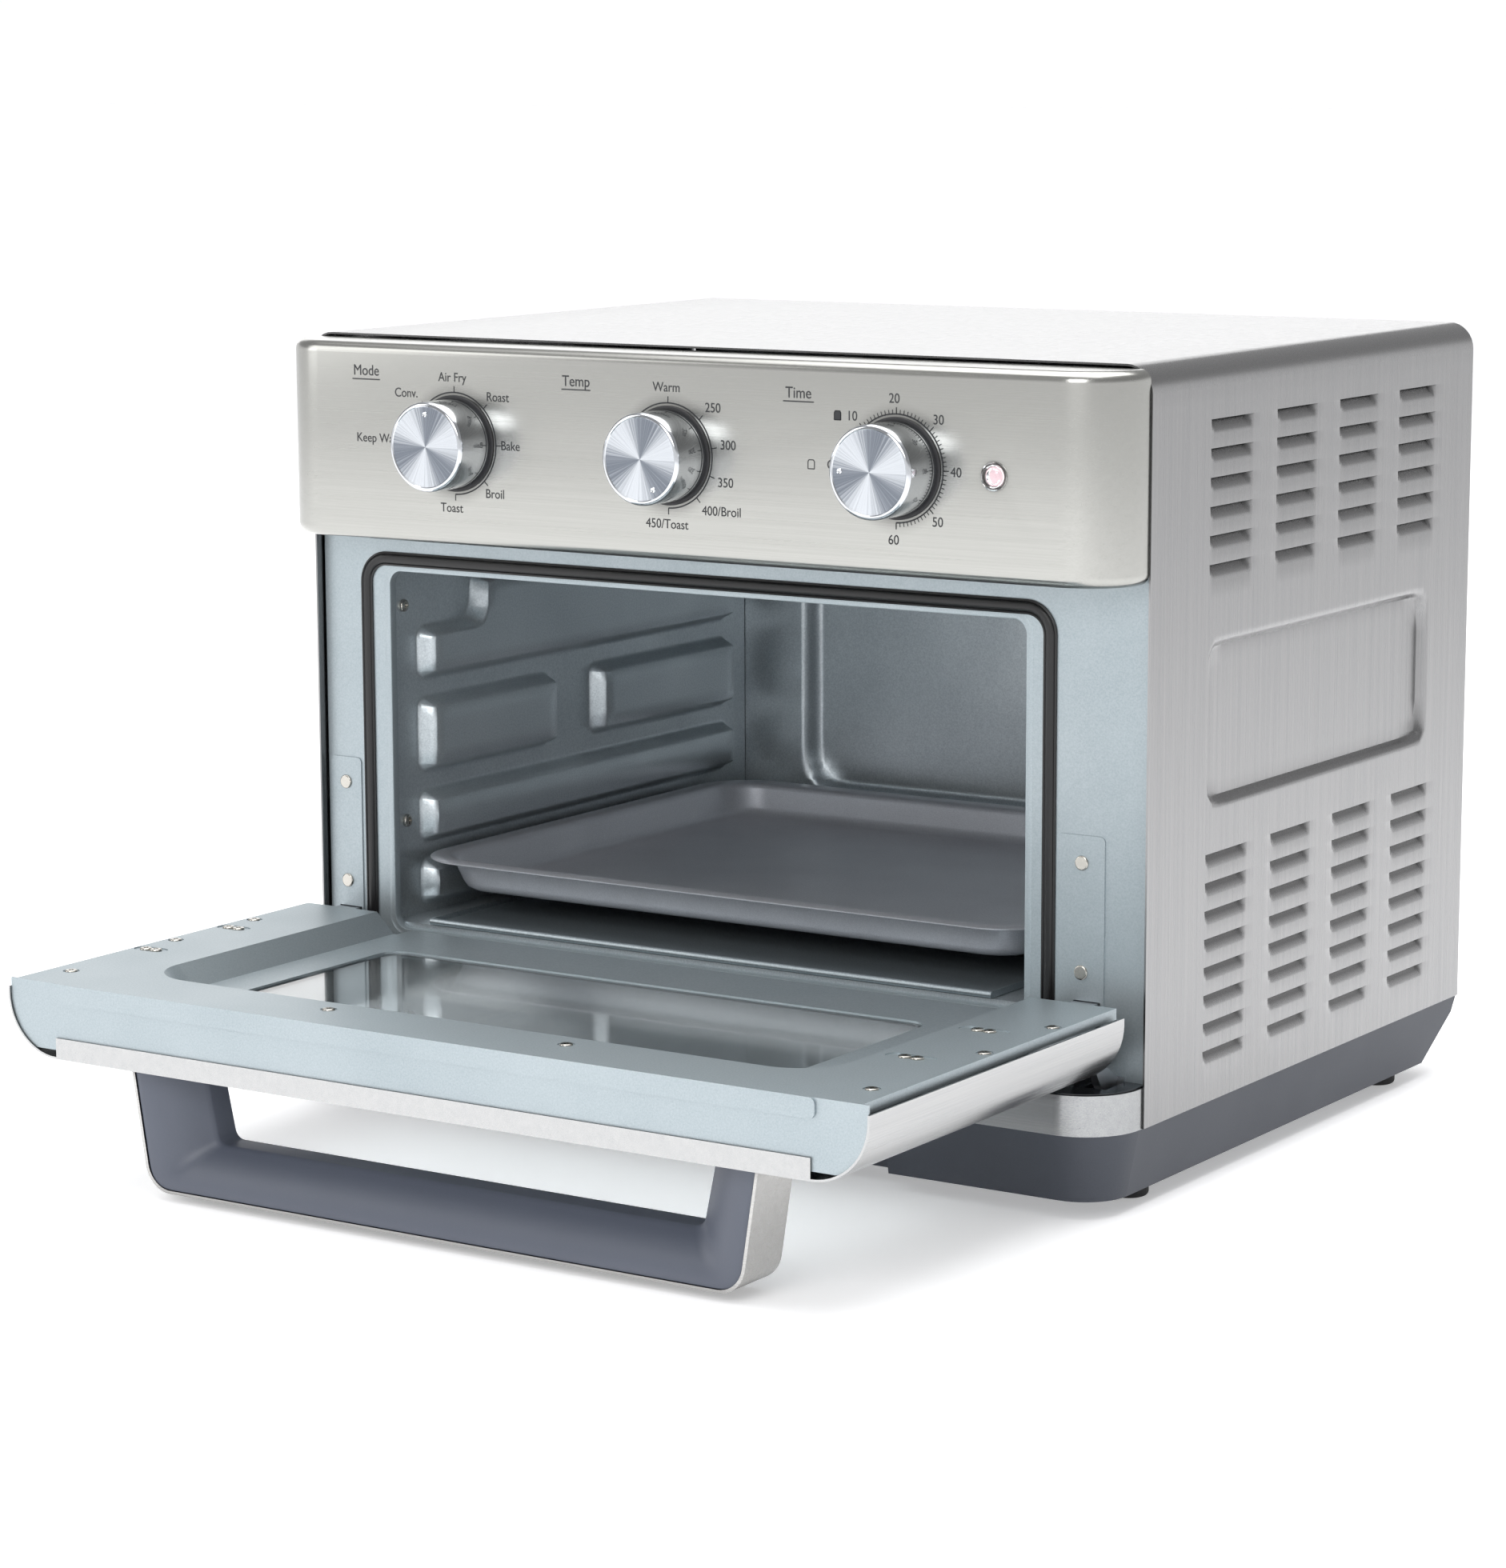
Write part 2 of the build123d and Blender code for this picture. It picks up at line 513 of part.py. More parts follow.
def fan_motor():
    """The shaded-pole motor that drives the fan, on its bracket."""
    x = CAVITY_X1 + SHEET + 16
    body = rod_x(FAN_Y, FAN_Z, 24, x, x + 14) + slab(x, x + 14, FAN_Y - 20, FAN_Y + 20,
                                                       FAN_Z - 40, FAN_Z - 18)
    body += slab(x, x + 1.5, FAN_Y - 49, FAN_Y + 49, FAN_Z - 12, FAN_Z + 12)
    for y in (FAN_Y - 49, FAN_Y + 47):
        body += slab(CAVITY_X1 + SHEET, x + 1.5, y, y + 2, FAN_Z - 12, FAN_Z + 12)
    return body - rod_x(FAN_Y, FAN_Z, 2.0 + RUN, x - 2, x + 9)


# --- controls -----------------------------------------------------------------------------------
def control_body(x, wide, tall, deep, dome=0.0):
    """A switch, thermostat or timer body behind the carrier, with a bush for its shaft."""
    y0 = -27.6
    body = slab(x - wide / 2, x + wide / 2, y0 + 3, y0 + 3 + deep, DIAL_Z - tall / 2, DIAL_Z + tall / 2)
    body += slab(x - 20, x + 20, y0, y0 + 3, DIAL_Z - 9, DIAL_Z + 9)
    body += rod_y(x, DIAL_Z, 5.0, -29.6, y0)
    if dome:
        body += rod_y(x, DIAL_Z, dome, y0 + 3 + deep, y0 + 6 + deep)
    return body - rod_y(x, DIAL_Z, SHAFT_R + RUN, -40, y0 + 12)


def timer_bell():
    """The steel bell cup behind the timer."""
    y = -27.6 + 3 + 30
    cup = rod_y(DIAL_X[2], DIAL_Z, 16, y + 3, y + 12)
    return cup - rod_y(DIAL_X[2], DIAL_Z, 15, y + 4, y + 13) + rod_y(DIAL_X[2], DIAL_Z, 3, y, y + 5)


def shaft(x):
    """A control shaft with a flat where the knob grips it."""
    bar = rod_y(x, DIAL_Z, SHAFT_R, -FRONT_OUT - 15, -27.6 + 11.5)
    return bar - slab(x - 4, x + 4, -FRONT_OUT - 16, -FRONT_OUT - 4, DIAL_Z + 2.0, DIAL_Z + 4)


def knob(x):
    """A metal-capped knob: drum, chamfered rim, a pointer dimple, and a bore with a flat."""
    y0, y1 = -FRONT_OUT - 1.2 - KNOB_LEN, -FRONT_OUT - 1.2
    body = rod_y(x, DIAL_Z, KNOB_R, y0, y1)
    body = chamfer(body.edges().filter_by(GeomType.CIRCLE).sort_by(Axis.Y)[0], 1.6)
    body -= rod_y(x, DIAL_Z, KNOB_R - 2.4, y1 - 12, y1 + 1) - rod_y(x, DIAL_Z, 6.5, y1 - 12, y1 + 1)
    for turn in range(0, 360, 60):
        rib = slab(x - 0.6, x + 0.6, y1 - 12, y1 - 1, DIAL_Z + 6, DIAL_Z + KNOB_R - 2)
        spin = Location((x, 0, DIAL_Z)) * Rot(0, turn, 0) * Location((-x, 0, -DIAL_Z))
        body += spin * rib
    bore = rod_y(x, DIAL_Z, SHAFT_R, -FRONT_OUT - 15, y1 + 1)
    bore -= slab(x - 4, x + 4, -FRONT_OUT - 16, -FRONT_OUT - 4, DIAL_Z + 2.0, DIAL_Z + 4)
    body -= bore
    angle = KNOB_REST[DIAL_X.index(x)]
    dimple = Pos(x + 15.2 * sin(radians(angle)), y0 - 0.9, DIAL_Z + 15.2 * cos(radians(angle))) * Sphere(2.0)
    return body - dimple


def dial_rings():
    """Dark escutcheon rings between the knobs and the fascia."""
    rings = []
    for x in DIAL_X:
        ring = rod_y(x, DIAL_Z, KNOB_R + 1.6, -FRONT_OUT - 0.8, -FRONT_OUT)
        rings.append(ring - rod_y(x, DIAL_Z, 5.5, -40, -20))
    return group(*rings)


def indicator_lens():
    """The clear stepped lens of the pilot lamp."""
    y = -FRONT_OUT
    lens = rod_y(LAMP_X, LAMP_Z, LENS_R, y - 2.2, y)
    lens = fillet(lens.edges().filter_by(GeomType.CIRCLE).sort_by(Axis.Y)[0], 1.4)
    return lens + rod_y(LAMP_X, LAMP_Z, LENS_R - 1.5, y, y + 6)


def indicator_lamp():
    """The neon pilot lamp in its sleeve behind the lens."""
    return rod_y(LAMP_X, LAMP_Z, 3.2, -FRONT_OUT + 6, -FRONT_OUT + 22)


def thermostat_bulb():
    """The thermostat's sensing bulb held along the cavity's left wall."""
    tube = Pos(CAVITY_X0 + 8, 120, 226) * Rot(90, 0, 0) * Cylinder(2.0, 70)
    clips = [slab(CAVITY_X0, CAVITY_X0 + 10.5, y, y + 3, 223.5, 224) for y in (95, 142)]
    for y in (95, 142):
        clips.append(slab(CAVITY_X0 + 5.8, CAVITY_X0 + 10.2, y, y + 3, 223.5, 224.2))
    return tube + clips


def thermal_cutout():
    """The safety thermostat on the cavity's roof."""
    disc = rod_z(40, 250, 8, CAVITY_Z1 + SHEET, CAVITY_Z1 + 7)
    return disc + slab(28, 52, 246, 254, CAVITY_Z1 + SHEET, CAVITY_Z1 + 2)


def terminal_block():
    """The mains terminal block above the bottom plate, beside the inlet."""
    block = slab(168, 196, 270, 300, SHEET, 14)
    return block - [rod_z(175 + 7 * i, 285, 1.6, 6, 20) for i in range(3)]


def inlet_bush():
    """The bush in the rear panel where the mains cord would enter."""
    bush = rod_y(180, 26, 7.9, CASE_D - 8, CASE_D + 3) + rod_y(180, 26, 10.5, CASE_D, CASE_D + 3)
    return bush - rod_y(180, 26, 4.2, CASE_D - 10, CASE_D + 5)


def rear_spacers():
    """Hooked plastic spacers that keep the oven off a wall and take the wound cord."""
    parts = []
    for x in (-212, 212):
        big = slab(x - 10, x + 10, CASE_D, CASE_D + REAR_OUT, 8, 41)
        big -= slab(x - 12, x + 12, CASE_D + 4, CASE_D + REAR_OUT - 4, 4, 33)
        small = slab(x - 6, x + 8, CASE_D, CASE_D + 9, 47, 64)
        parts += [big, small]
    return group(*parts)


def casing_screws():
    """Screws that hold the rear panel's corners."""
    return group(*[pan_head(x, CASE_D, z, (0, 1, 0), r=3.6) for x in (-215, 215) for z in (80, 200, 318)])


# --- door ---------------------------------------------------------------------------------------
def door_section(inset, top):
    """The door's cross-section: flat outer face with a quarter round at each side."""
    half = CASE_W / 2 - inset
    low = DOOR_Z0 + inset
    r = CORNER_R - inset
    return outline([(-half, low), (half, low), (half, top), (-half, top)], {0: r, 1: r})


def tub(grow, deep):
    """The solid that presses or hollows the liner's tub, open towards the cavity."""
    x = TUB_HALF + grow
    y0 = TUB_Y0 - grow
    top = Pos(0, (y0 + 60) / 2, DOOR_Z1) * RectangleRounded(2 * x, 60 - y0, 26 + grow)
    return extrude(top, -deep, taper=45)


def door_outer_skin():
    """The brushed steel outer skin: flat face, round sides, folded lip and window opening."""
    skin = along_y(door_section(0, DOOR_Z1 - 4), DOOR_Y0, DOOR_Y1)
    skin -= along_y(door_section(SHEET, DOOR_Z1), DOOR_Y0 + SHEET, DOOR_Y1 + 5)
    lip = DOOR_Z0 + 9.8
    skin -= slab(-202, 202, DOOR_Y0 - 1, DOOR_Y0 + SHEET + 0.01, lip, DOOR_Z1)
    ends = along_y(door_section(SHEET, DOOR_Z1), DOOR_Y0 - 1, DOOR_Y0 + SHEET + 0.01)
    skin -= ends - slab(-202, 202, DOOR_Y0 - 2, DOOR_Y0 + 5, 0, 100)
    x0, x1, y0, y1 = WINDOW
    hole = rounded(x0 + 1, x1 - 1, y0 + 1, y1 - 1, 9)
    frame = rounded(x0, x1, y0, y1, 10)
    glass_low = DOOR_Z1 - TUB_DEPTH - SHEET - GLASS_T
    skin += along_z(frame, DOOR_Z0, glass_low)
    return skin - along_z(hole, DOOR_Z0 - 1, glass_low + 1)


def door_inner_liner():
    """The aluminised inner liner: flat rim, pressed tub with a window, bead, end wall and sill tab."""
    half = CASE_W / 2 - 4
    y0 = DOOR_Y0 + SHEET
    plate = slab(-half, half, y0, DOOR_Y1, DOOR_Z1 - SHEET, DOOR_Z1)
    for x in (-half, half - SHEET):
        plate += slab(x, x + SHEET, y0, DOOR_Y1, DOOR_Z1 - 5, DOOR_Z1)
    press = (tub(SHEET, TUB_DEPTH + SHEET) - slab(-300, 300, -6, 100, 0, 100)
             - slab(-300, 300, DOOR_Y1, 100, DOOR_Z1 - TUB_DEPTH, 100))
    press -= slab(171, 300, DOOR_Y1, 100, 0, 100) + slab(-300, -171, DOOR_Y1, 100, 0, 100)
    plate = plate + press - tub(0, TUB_DEPTH)
    end = along_y(door_section(SHEET + 0.1, DOOR_Z1), y0, y0 + SHEET)
    end -= slab(-300, 300, y0 - 1, y0 + 5, 0, DOOR_Z0 + 4)
    plate += end
    plate += along_y(Pos(0, DOOR_Z1 - 4.5) * RectangleRounded(408, 9, 3), DOOR_Y0, y0)
    plate -= along_z(rounded(*WINDOW[:2], *WINDOW[2:], 10), DOOR_Z1 - 30, DOOR_Z1 - 1)
    for x in ARM_X:
        for y in ARM_SCREW_Y:
            plate -= along_z(Pos(x, y) * SlotOverall(min(24, 2 * (half - abs(x)) - 1), 9),
                             DOOR_Z1 - 0.5, DOOR_Z1 + 1)
    for x, y in DOOR_SCREWS:
        plate -= rod_z(x, y, 3.8, DOOR_Z1 - 0.5, DOOR_Z1 + 1)
    return plate


def door_glass():
    """The tempered pane between the liner's window and the skin's frame."""
    top = DOOR_Z1 - TUB_DEPTH - SHEET
    x0, x1, y0, y1 = WINDOW
    return along_z(rounded(x0 - 8, x1 + 8, y0 - 8, y1 + 8, 8), top - GLASS_T, top)


def glass_clips():
    """Folded clips that press the pane against the liner."""
    clips = []
    high = DOOR_Z1 - TUB_DEPTH - SHEET
    low = high - GLASS_T - 1.2
    for x in (-90.0, 90.0):
        for edge, out in ((WINDOW[2], -1), (WINDOW[3], 1)):
            under = sorted((edge + out, edge + out * 10))
            leg = sorted((edge + out * 8.2, edge + out * 10))
            clips.append(slab(x - 9, x + 9, *under, low, low + 1.2) + slab(x - 9, x + 9, *leg, low, high))
    return group(*clips)


def door_screws():
    """Screws through the liner: four pairs into the hinge arms and singles around the rim."""
    heads = []
    spots = [(x + dx, y) for x in ARM_X for y in ARM_SCREW_Y for dx in (-3.0, 3.0)]
    for x, y in spots + DOOR_SCREWS:
        heads.append(pan_head(x, y, DOOR_Z1 - 0.5, (0, 0, 1), r=2.9, high=1.0, shank=1.3, depth=0.5))
    return group(*heads)


# --- handle -------------------------------------------------------------------------------------
def handle_outline(inset, low, radius, high):
    """The handle's tapered outline, drawn as (x, z)."""
    top, foot = HANDLE_TOP - inset, HANDLE_FOOT - inset
    return outline([(-foot, low), (foot, low), (top, high), (-top, high)], {0: radius, 1: radius})


def handle_strip():
    """The plastic strip between the door and the handle."""
    body = slab(-HANDLE_TOP - 0.6, HANDLE_TOP + 0.6, HANDLE_Y0, HANDLE_Y1, DOOR_Z0 - STRIP_H, DOOR_Z0)
    return fillet(body.edges().filter_by(Axis.Z), 2.5)


def handle_band():
    """The brushed steel band bent around the handle."""
    high = DOOR_Z0 - STRIP_H
    band = along_y(handle_outline(0, HANDLE_LOW, 14, high), HANDLE_Y0, HANDLE_Y1)
    return band - along_y(handle_outline(BAND, HANDLE_LOW + BAND, 14 - BAND, high),
                          HANDLE_Y0 - 1, HANDLE_Y1 + 1)


def handle_grip():
    """The plastic grip inside the band, scooped on its front towards the finger gap."""
    high = DOOR_Z0 - STRIP_H
    grip = along_y(handle_outline(BAND, HANDLE_LOW + BAND, 14 - BAND, high), HANDLE_Y0 + 0.3,
                   HANDLE_Y1 - 0.3)
    gap = [(-GAP_FOOT, GAP_LOW), (GAP_FOOT, GAP_LOW), (GAP_TOP, high + 1), (-GAP_TOP, high + 1)]
    hole = outline(gap, {0: 6, 1: 6})
    mouth = outline([(-HANDLE_FOOT + 3, HANDLE_LOW + 3), (HANDLE_FOOT - 3, HANDLE_LOW + 3),
                     (HANDLE_TOP - 3, high + 1), (-HANDLE_TOP + 3, high + 1)], {0: 12, 1: 12})
    grip -= along_y(hole, HANDLE_Y0 - 1, HANDLE_Y1 + 1)
    front = Plane(origin=(0, HANDLE_Y0, 0), x_dir=(1, 0, 0), z_dir=(0, -1, 0))
    waist = Plane(origin=(0, GAP_Y, 0), x_dir=(1, 0, 0), z_dir=(0, -1, 0))
    return grip - loft([front * mouth, waist * hole], ruled=True)


def handle_screws():
    """Screws from inside the door into the handle's legs."""
    return group(*[pan_head(x, -202, DOOR_Z0 + SHEET, (0, 0, 1), r=4, shank=2, depth=1.0)
                   for x in (-152, 152)])


# --- cookware -----------------------------------------------------------------------------------
def baking_pan():
    """A shallow steel pan with sloped walls and a flat rolled rim, in the lowest grooves."""
    y_mid, depth = (PAN_Y0 + PAN_Y1) / 2, PAN_Y1 - PAN_Y0
    rim_w = 11.0
    z = GROOVES[0]

    def bowl(inset, drop, top):
        face = Pos(CAVITY_MID, y_mid, top) * RectangleRounded(2 * (PAN_HALF - rim_w - inset),
                                                              depth - 2 * (rim_w + inset), 22 - inset)
        return extrude(face, -drop, taper=20)

    rim = Pos(CAVITY_MID, y_mid, z - 1.2) * extrude(RectangleRounded(2 * PAN_HALF, depth, 30), 1.2)
    pan = rim + bowl(-0.9, PAN_DEPTH, z - 0.1)
    return pan - bowl(0, PAN_DEPTH - 0.8, z + 0.2)


def crumb_tray():
    """The flat crumb tray on the cavity floor, with low edges and a rolled front."""
    x0, x1 = CAVITY_MID - 159, CAVITY_MID + 159
    z = CAVITY_Z0 + SHEET + 0.3
    tray = slab(x0, x1, 9, 300, z, z + 0.8)
    for x in (x0, x1 - 0.8):
        tray += slab(x, x + 0.8, 9, 300, z, z + 3.2)
    tray += slab(x0, x1, 299.2, 300, z, z + 3.2)
    return tray + rod_x(9, z + 1.6, 1.6, x0, x1)


NODES = {
    "outer_wrap": outer_wrap, "rear_panel": rear_panel, "base_moulding": base_moulding,
    "bottom_plate": bottom_plate, "rubber_feet": rubber_feet, "control_panel": control_panel,
    "panel_backing": panel_backing, "bottom_trim": bottom_trim, "trim_cap": trim_cap,
    "front_frame": front_frame, "hinge_cover_plates": hinge_cover_plates,
    "hinge_rivets": hinge_rivets, "hinge_brackets": hinge_brackets, "door_gasket": door_gasket,
    "cavity_left_wall": lambda: side_wall(-1), "cavity_right_wall": lambda: side_wall(1),
    "cavity_back_wall": cavity_back_wall, "cavity_roof": cavity_roof, "cavity_floor": cavity_floor,
    "cavity_screws": cavity_screws,
    "upper_elements": lambda: heating_rods(True), "lower_elements": lambda: heating_rods(False),
    "element_holders": element_holders,
    "convection_fan": convection_fan, "fan_motor": fan_motor,
    "mode_switch": lambda: control_body(DIAL_X[0], 36, 36, 26),
    "thermostat": lambda: control_body(DIAL_X[1], 34, 40, 18, dome=14),
    "timer": lambda: control_body(DIAL_X[2], 44, 44, 30), "timer_bell": timer_bell,
    "mode_shaft": lambda: shaft(DIAL_X[0]), "temperature_shaft": lambda: shaft(DIAL_X[1]),
    "timer_shaft": lambda: shaft(DIAL_X[2]),
    "mode_knob": lambda: knob(DIAL_X[0]), "temperature_knob": lambda: knob(DIAL_X[1]),
    "timer_knob": lambda: knob(DIAL_X[2]), "dial_rings": dial_rings,
    "indicator_lens": indicator_lens, "indicator_lamp": indicator_lamp,
    "thermostat_bulb": thermostat_bulb, "thermal_cutout": thermal_cutout,
    "terminal_block": terminal_block, "inlet_bush": inlet_bush, "rear_spacers": rear_spacers,
    "casing_screws": casing_screws,
    "door_outer_skin": door_outer_skin, "door_inner_liner": door_inner_liner,
    "door_glass": door_glass, "glass_clips": glass_clips, "door_screws": door_screws,
    "hinge_arms": hinge_arms, "handle_strip": handle_strip, "handle_band": handle_band,
    "handle_grip": handle_grip, "handle_screws": handle_screws,
    "baking_pan": baking_pan, "crumb_tray": crumb_tray,
}

os.makedirs("parts", exist_ok=True)
for name, build in NODES.items():
    shape = build().moved(SHIFT)
    export_step(shape, f"parts/{name}.step")
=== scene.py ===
"""Countertop toaster oven: the visual model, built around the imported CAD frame.

Sizes are millimetres in the casing's own frame (x across, y back from the casing's front edge, z up
from its bottom edge) until Datum turns them into metres in the row frame.
"""

import logging
import math
from dataclasses import dataclass
from enum import Enum
from typing import Callable, Iterable, Mapping, Sequence

import bpy
from mathutils import Matrix, Vector


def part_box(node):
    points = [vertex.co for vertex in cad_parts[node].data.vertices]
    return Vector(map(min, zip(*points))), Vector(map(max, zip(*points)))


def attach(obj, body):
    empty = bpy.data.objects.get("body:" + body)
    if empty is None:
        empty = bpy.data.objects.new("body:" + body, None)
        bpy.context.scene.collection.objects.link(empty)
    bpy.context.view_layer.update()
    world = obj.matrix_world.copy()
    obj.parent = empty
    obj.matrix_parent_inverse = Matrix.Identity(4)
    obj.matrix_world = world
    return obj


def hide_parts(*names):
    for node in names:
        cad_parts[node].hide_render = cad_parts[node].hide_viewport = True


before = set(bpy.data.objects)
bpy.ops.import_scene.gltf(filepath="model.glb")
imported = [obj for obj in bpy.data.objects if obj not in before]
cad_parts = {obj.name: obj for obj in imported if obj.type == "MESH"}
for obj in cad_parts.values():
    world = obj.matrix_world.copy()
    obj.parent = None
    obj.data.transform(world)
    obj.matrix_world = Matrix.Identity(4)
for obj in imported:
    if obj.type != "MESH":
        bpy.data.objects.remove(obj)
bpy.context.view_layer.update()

logging.basicConfig(level=logging.INFO, format="%(name)s: %(message)s")
LOG = logging.getLogger("toaster_oven")

MM = 0.001
SHARP_ANGLE = math.radians(38)
WELD_REACH = 0.02 * MM
AXIS = 0.001  # a turned profile's first radius: nearly 0, so that its facets keep an area
DIAL_PLACES = (-121.0, 0.0, 121.0)
DIAL_HEIGHT = 289.6
Point = tuple[float, float, float]
Flat = tuple[float, float]


# --- places and numbers ---------------------------------------------------------------------------
class Datum:
    """The casing's own frame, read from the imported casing."""

    def __init__(self) -> None:
        """Reads the casing's corner from the frame."""
        low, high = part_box("outer_wrap")
        self.front = low.y
        self.bottom = low.z
        self.width = (high.x - low.x) / MM
        self.depth = (high.y - low.y) / MM
        self.height = (high.z - low.z) / MM

    def at(self, x: float, y: float, z: float) -> Vector:
        """A point of the casing's frame in the row frame.

        Args:
            x: millimetres across.
            y: millimetres back.
            z: millimetres up.

        Returns:
            The point in metres.
        """
        return Vector((x * MM, self.front + y * MM, self.bottom + z * MM))


DATUM = Datum()


def smoothstep(low: float, high: float, value: float) -> float:
    """A soft step.

    Args:
        low: where it starts to rise from 0.
        high: where it reaches 1.
        value: where it is read.

    Returns:
        The height, from 0 to 1.
    """
    t = min(1.0, max(0.0, (value - low) / (high - low)))
    return t * t * (3 - 2 * t)


def rounded_distance(a: float, b: float, box: tuple[float, float, float, float], radius: float) -> float:
    """Signed distance from (a, b) to a rounded rectangle, negative inside.

    Args:
        a: first coordinate.
        b: second coordinate.
        box: the rectangle as (a0, a1, b0, b1).
        radius: its corner radius.

    Returns:
        The distance in the same unit.
    """
    a0, a1, b0, b1 = box
    da = abs(a - (a0 + a1) / 2) - (a1 - a0) / 2 + radius
    db = abs(b - (b0 + b1) / 2) - (b1 - b0) / 2 + radius
    outside = math.hypot(max(da, 0), max(db, 0))
    return outside + min(max(da, db), 0) - radius


def graded(stops: Iterable[float], low: float, high: float, step: float) -> list[float]:
    """Grid lines from low to high that pass through every stop, no further apart than step.

    Args:
        stops: places that need a line of their own.
        low: first line.
        high: last line.
        step: widest spacing.

    Returns:
        The sorted lines.
    """
    marks = sorted({round(v, 4) for v in stops if low < v < high} | {low, high})
    lines = [low]
    for start, end in zip(marks, marks[1:]):
        count = max(1, math.ceil((end - start) / step - 1e-6))
        lines += [start + (end - start) * i / count for i in range(1, count + 1)]
    return lines


def ramp_lines(edges: Iterable[float], reach: float, step: float) -> list[float]:
    """Closely spaced grid lines across pressed edges.

    Args:
        edges: the middle of each edge.
        reach: how far the lines go to either side.
        step: their spacing.

    Returns:
        The lines, edge by edge.
    """
    count = int(reach / step)
    return [edge + step * i for edge in edges for i in range(-count, count + 1)]


# --- finishes -------------------------------------------------------------------------------------
def hex_linear(code: str) -> tuple[float, float, float, float]:
    """An sRGB hex colour as linear RGBA.

    Args:
        code: six hex digits, with or without a leading hash.

    Returns:
        Linear red, green, blue and an alpha of 1.
    """
    code = code.lstrip("#")
    values = [int(code[i:i + 2], 16) / 255 for i in (0, 2, 4)]
    linear = [v / 12.92 if v <= 0.04045 else ((v + 0.055) / 1.055) ** 2.4 for v in values]
    return (linear[0], linear[1], linear[2], 1.0)


def add_node(tree: bpy.types.NodeTree, kind: str, settings: Mapping | None = None,
             links: Mapping | None = None) -> bpy.types.Node:
    """Adds a node with its settings and links.

    Args:
        tree: the node tree.
        kind: the node's type name.
        settings: socket names or indices to values, and node property names to values.
        links: socket names or indices to the output sockets that feed them.

    Returns:
        The new node.
    """
    node = tree.nodes.new(kind)
    properties = {k: v for k, v in (settings or {}).items() if isinstance(k, str) and hasattr(node, k)}
    for key, value in properties.items():
        setattr(node, key, value)
    for key, value in (settings or {}).items():
        if key not in properties:
            node.inputs[key].default_value = value
    for key, source in (links or {}).items():
        tree.links.new(source, node.inputs[key])
    return node


def new_material(name: str) -> tuple[bpy.types.Material, bpy.types.NodeTree, bpy.types.Node]:
    """An empty material with a Principled shader wired to its output.

    Args:
        name: the material's name.

    Returns:
        The material, its node tree and the shader.
    """
    material = bpy.data.materials.new(name)
    material.use_nodes = True
    tree = material.node_tree
    tree.nodes.clear()
    shader = add_node(tree, "ShaderNodeBsdfPrincipled")
    add_node(tree, "ShaderNodeOutputMaterial", links={"Surface": shader.outputs["BSDF"]})
    return material, tree, shader


class Grain(Enum):
    """The direction that a brushed sheet's lines run in."""

    ACROSS = 0
    FRONT_TO_BACK = 1
    UPRIGHT = 2


def paint_recess_shade(tree: bpy.types.NodeTree, colour: bpy.types.NodeSocket,
                   reach_mm: float) -> bpy.types.Node:
    """Paints shade into a colour: darkens it in narrow recesses, where little light gets in.

    Args:
        tree: the node tree.
        colour: the socket that carries the colour.
        reach_mm: how far a recess is felt.

    Returns:
        The mixing node, its colour on output 2.
    """
    reach = add_node(tree, "ShaderNodeAmbientOcclusion", {"Distance": reach_mm * MM, "samples": 6})
    amount = add_node(tree, "ShaderNodeMapRange", {"From Min": 0.4, "From Max": 0.98, "To Min": 0.2},
                      {"Value": reach.outputs["AO"]})
    dim = add_node(tree, "ShaderNodeCombineColor",
                   links={"Red": amount.outputs[0], "Green": amount.outputs[0], "Blue": amount.outputs[0]})
    return add_node(tree, "ShaderNodeMix", {"data_type": "RGBA", "blend_type": "MULTIPLY", 0: 1.0},
                    {6: colour, 7: dim.outputs[0]})


@dataclass(frozen=True)
class Surface:
    """What the grainy finishes share: two tones, gloss and relief that follow one pattern, and, where asked
    for, painted shade darkening the colour in recesses.
    """

    light: str
    dark: str
    share: float
    limits: Flat
    rougher: float
    smoother: float
    relief: float
    relief_mm: float = 0.4
    metallic: float = 0.0
    # reach of the painted shade in recesses, in millimetres; 0 for none
    painted_shade_mm: float = 0.0

    def lay(self, tree: bpy.types.NodeTree, shader: bpy.types.Node, fine: bpy.types.Node,
            broad: bpy.types.Node) -> None:
        """Wires the pattern into the shader.

        Args:
            tree: the node tree.
            shader: its Principled shader.
            fine: the fine pattern, which also gives the relief.
            broad: the broad pattern that is mixed in by the share.
        """
        both = add_node(tree, "ShaderNodeMix", {"data_type": "FLOAT", 0: self.share},
                        {2: fine.outputs[0], 3: broad.outputs[0]})
        tone = add_node(tree, "ShaderNodeMapRange", {"From Min": self.limits[0],
                                                     "From Max": self.limits[1]},
                        {"Value": both.outputs[0]})
        colour = add_node(tree, "ShaderNodeMix", {"data_type": "RGBA", 6: hex_linear(self.dark),
                                                  7: hex_linear(self.light)},
                          {0: tone.outputs[0]})
        # painted shade: the colour is darkened in recesses, where shade would fall
        if self.painted_shade_mm:
            colour = paint_recess_shade(tree, colour.outputs[2], self.painted_shade_mm)
        rough = add_node(tree, "ShaderNodeMapRange", {"To Min": self.rougher, "To Max": self.smoother},
                         {"Value": tone.outputs[0]})
        relief = add_node(tree, "ShaderNodeBump", {"Strength": self.relief,
                                                   "Distance": self.relief_mm * MM},
                          {"Height": fine.outputs[0]})
        shader.inputs["Metallic"].default_value = self.metallic
        tree.links.new(colour.outputs[2], shader.inputs["Base Color"])
        tree.links.new(rough.outputs[0], shader.inputs["Roughness"])
        tree.links.new(relief.outputs[0], shader.inputs["Normal"])


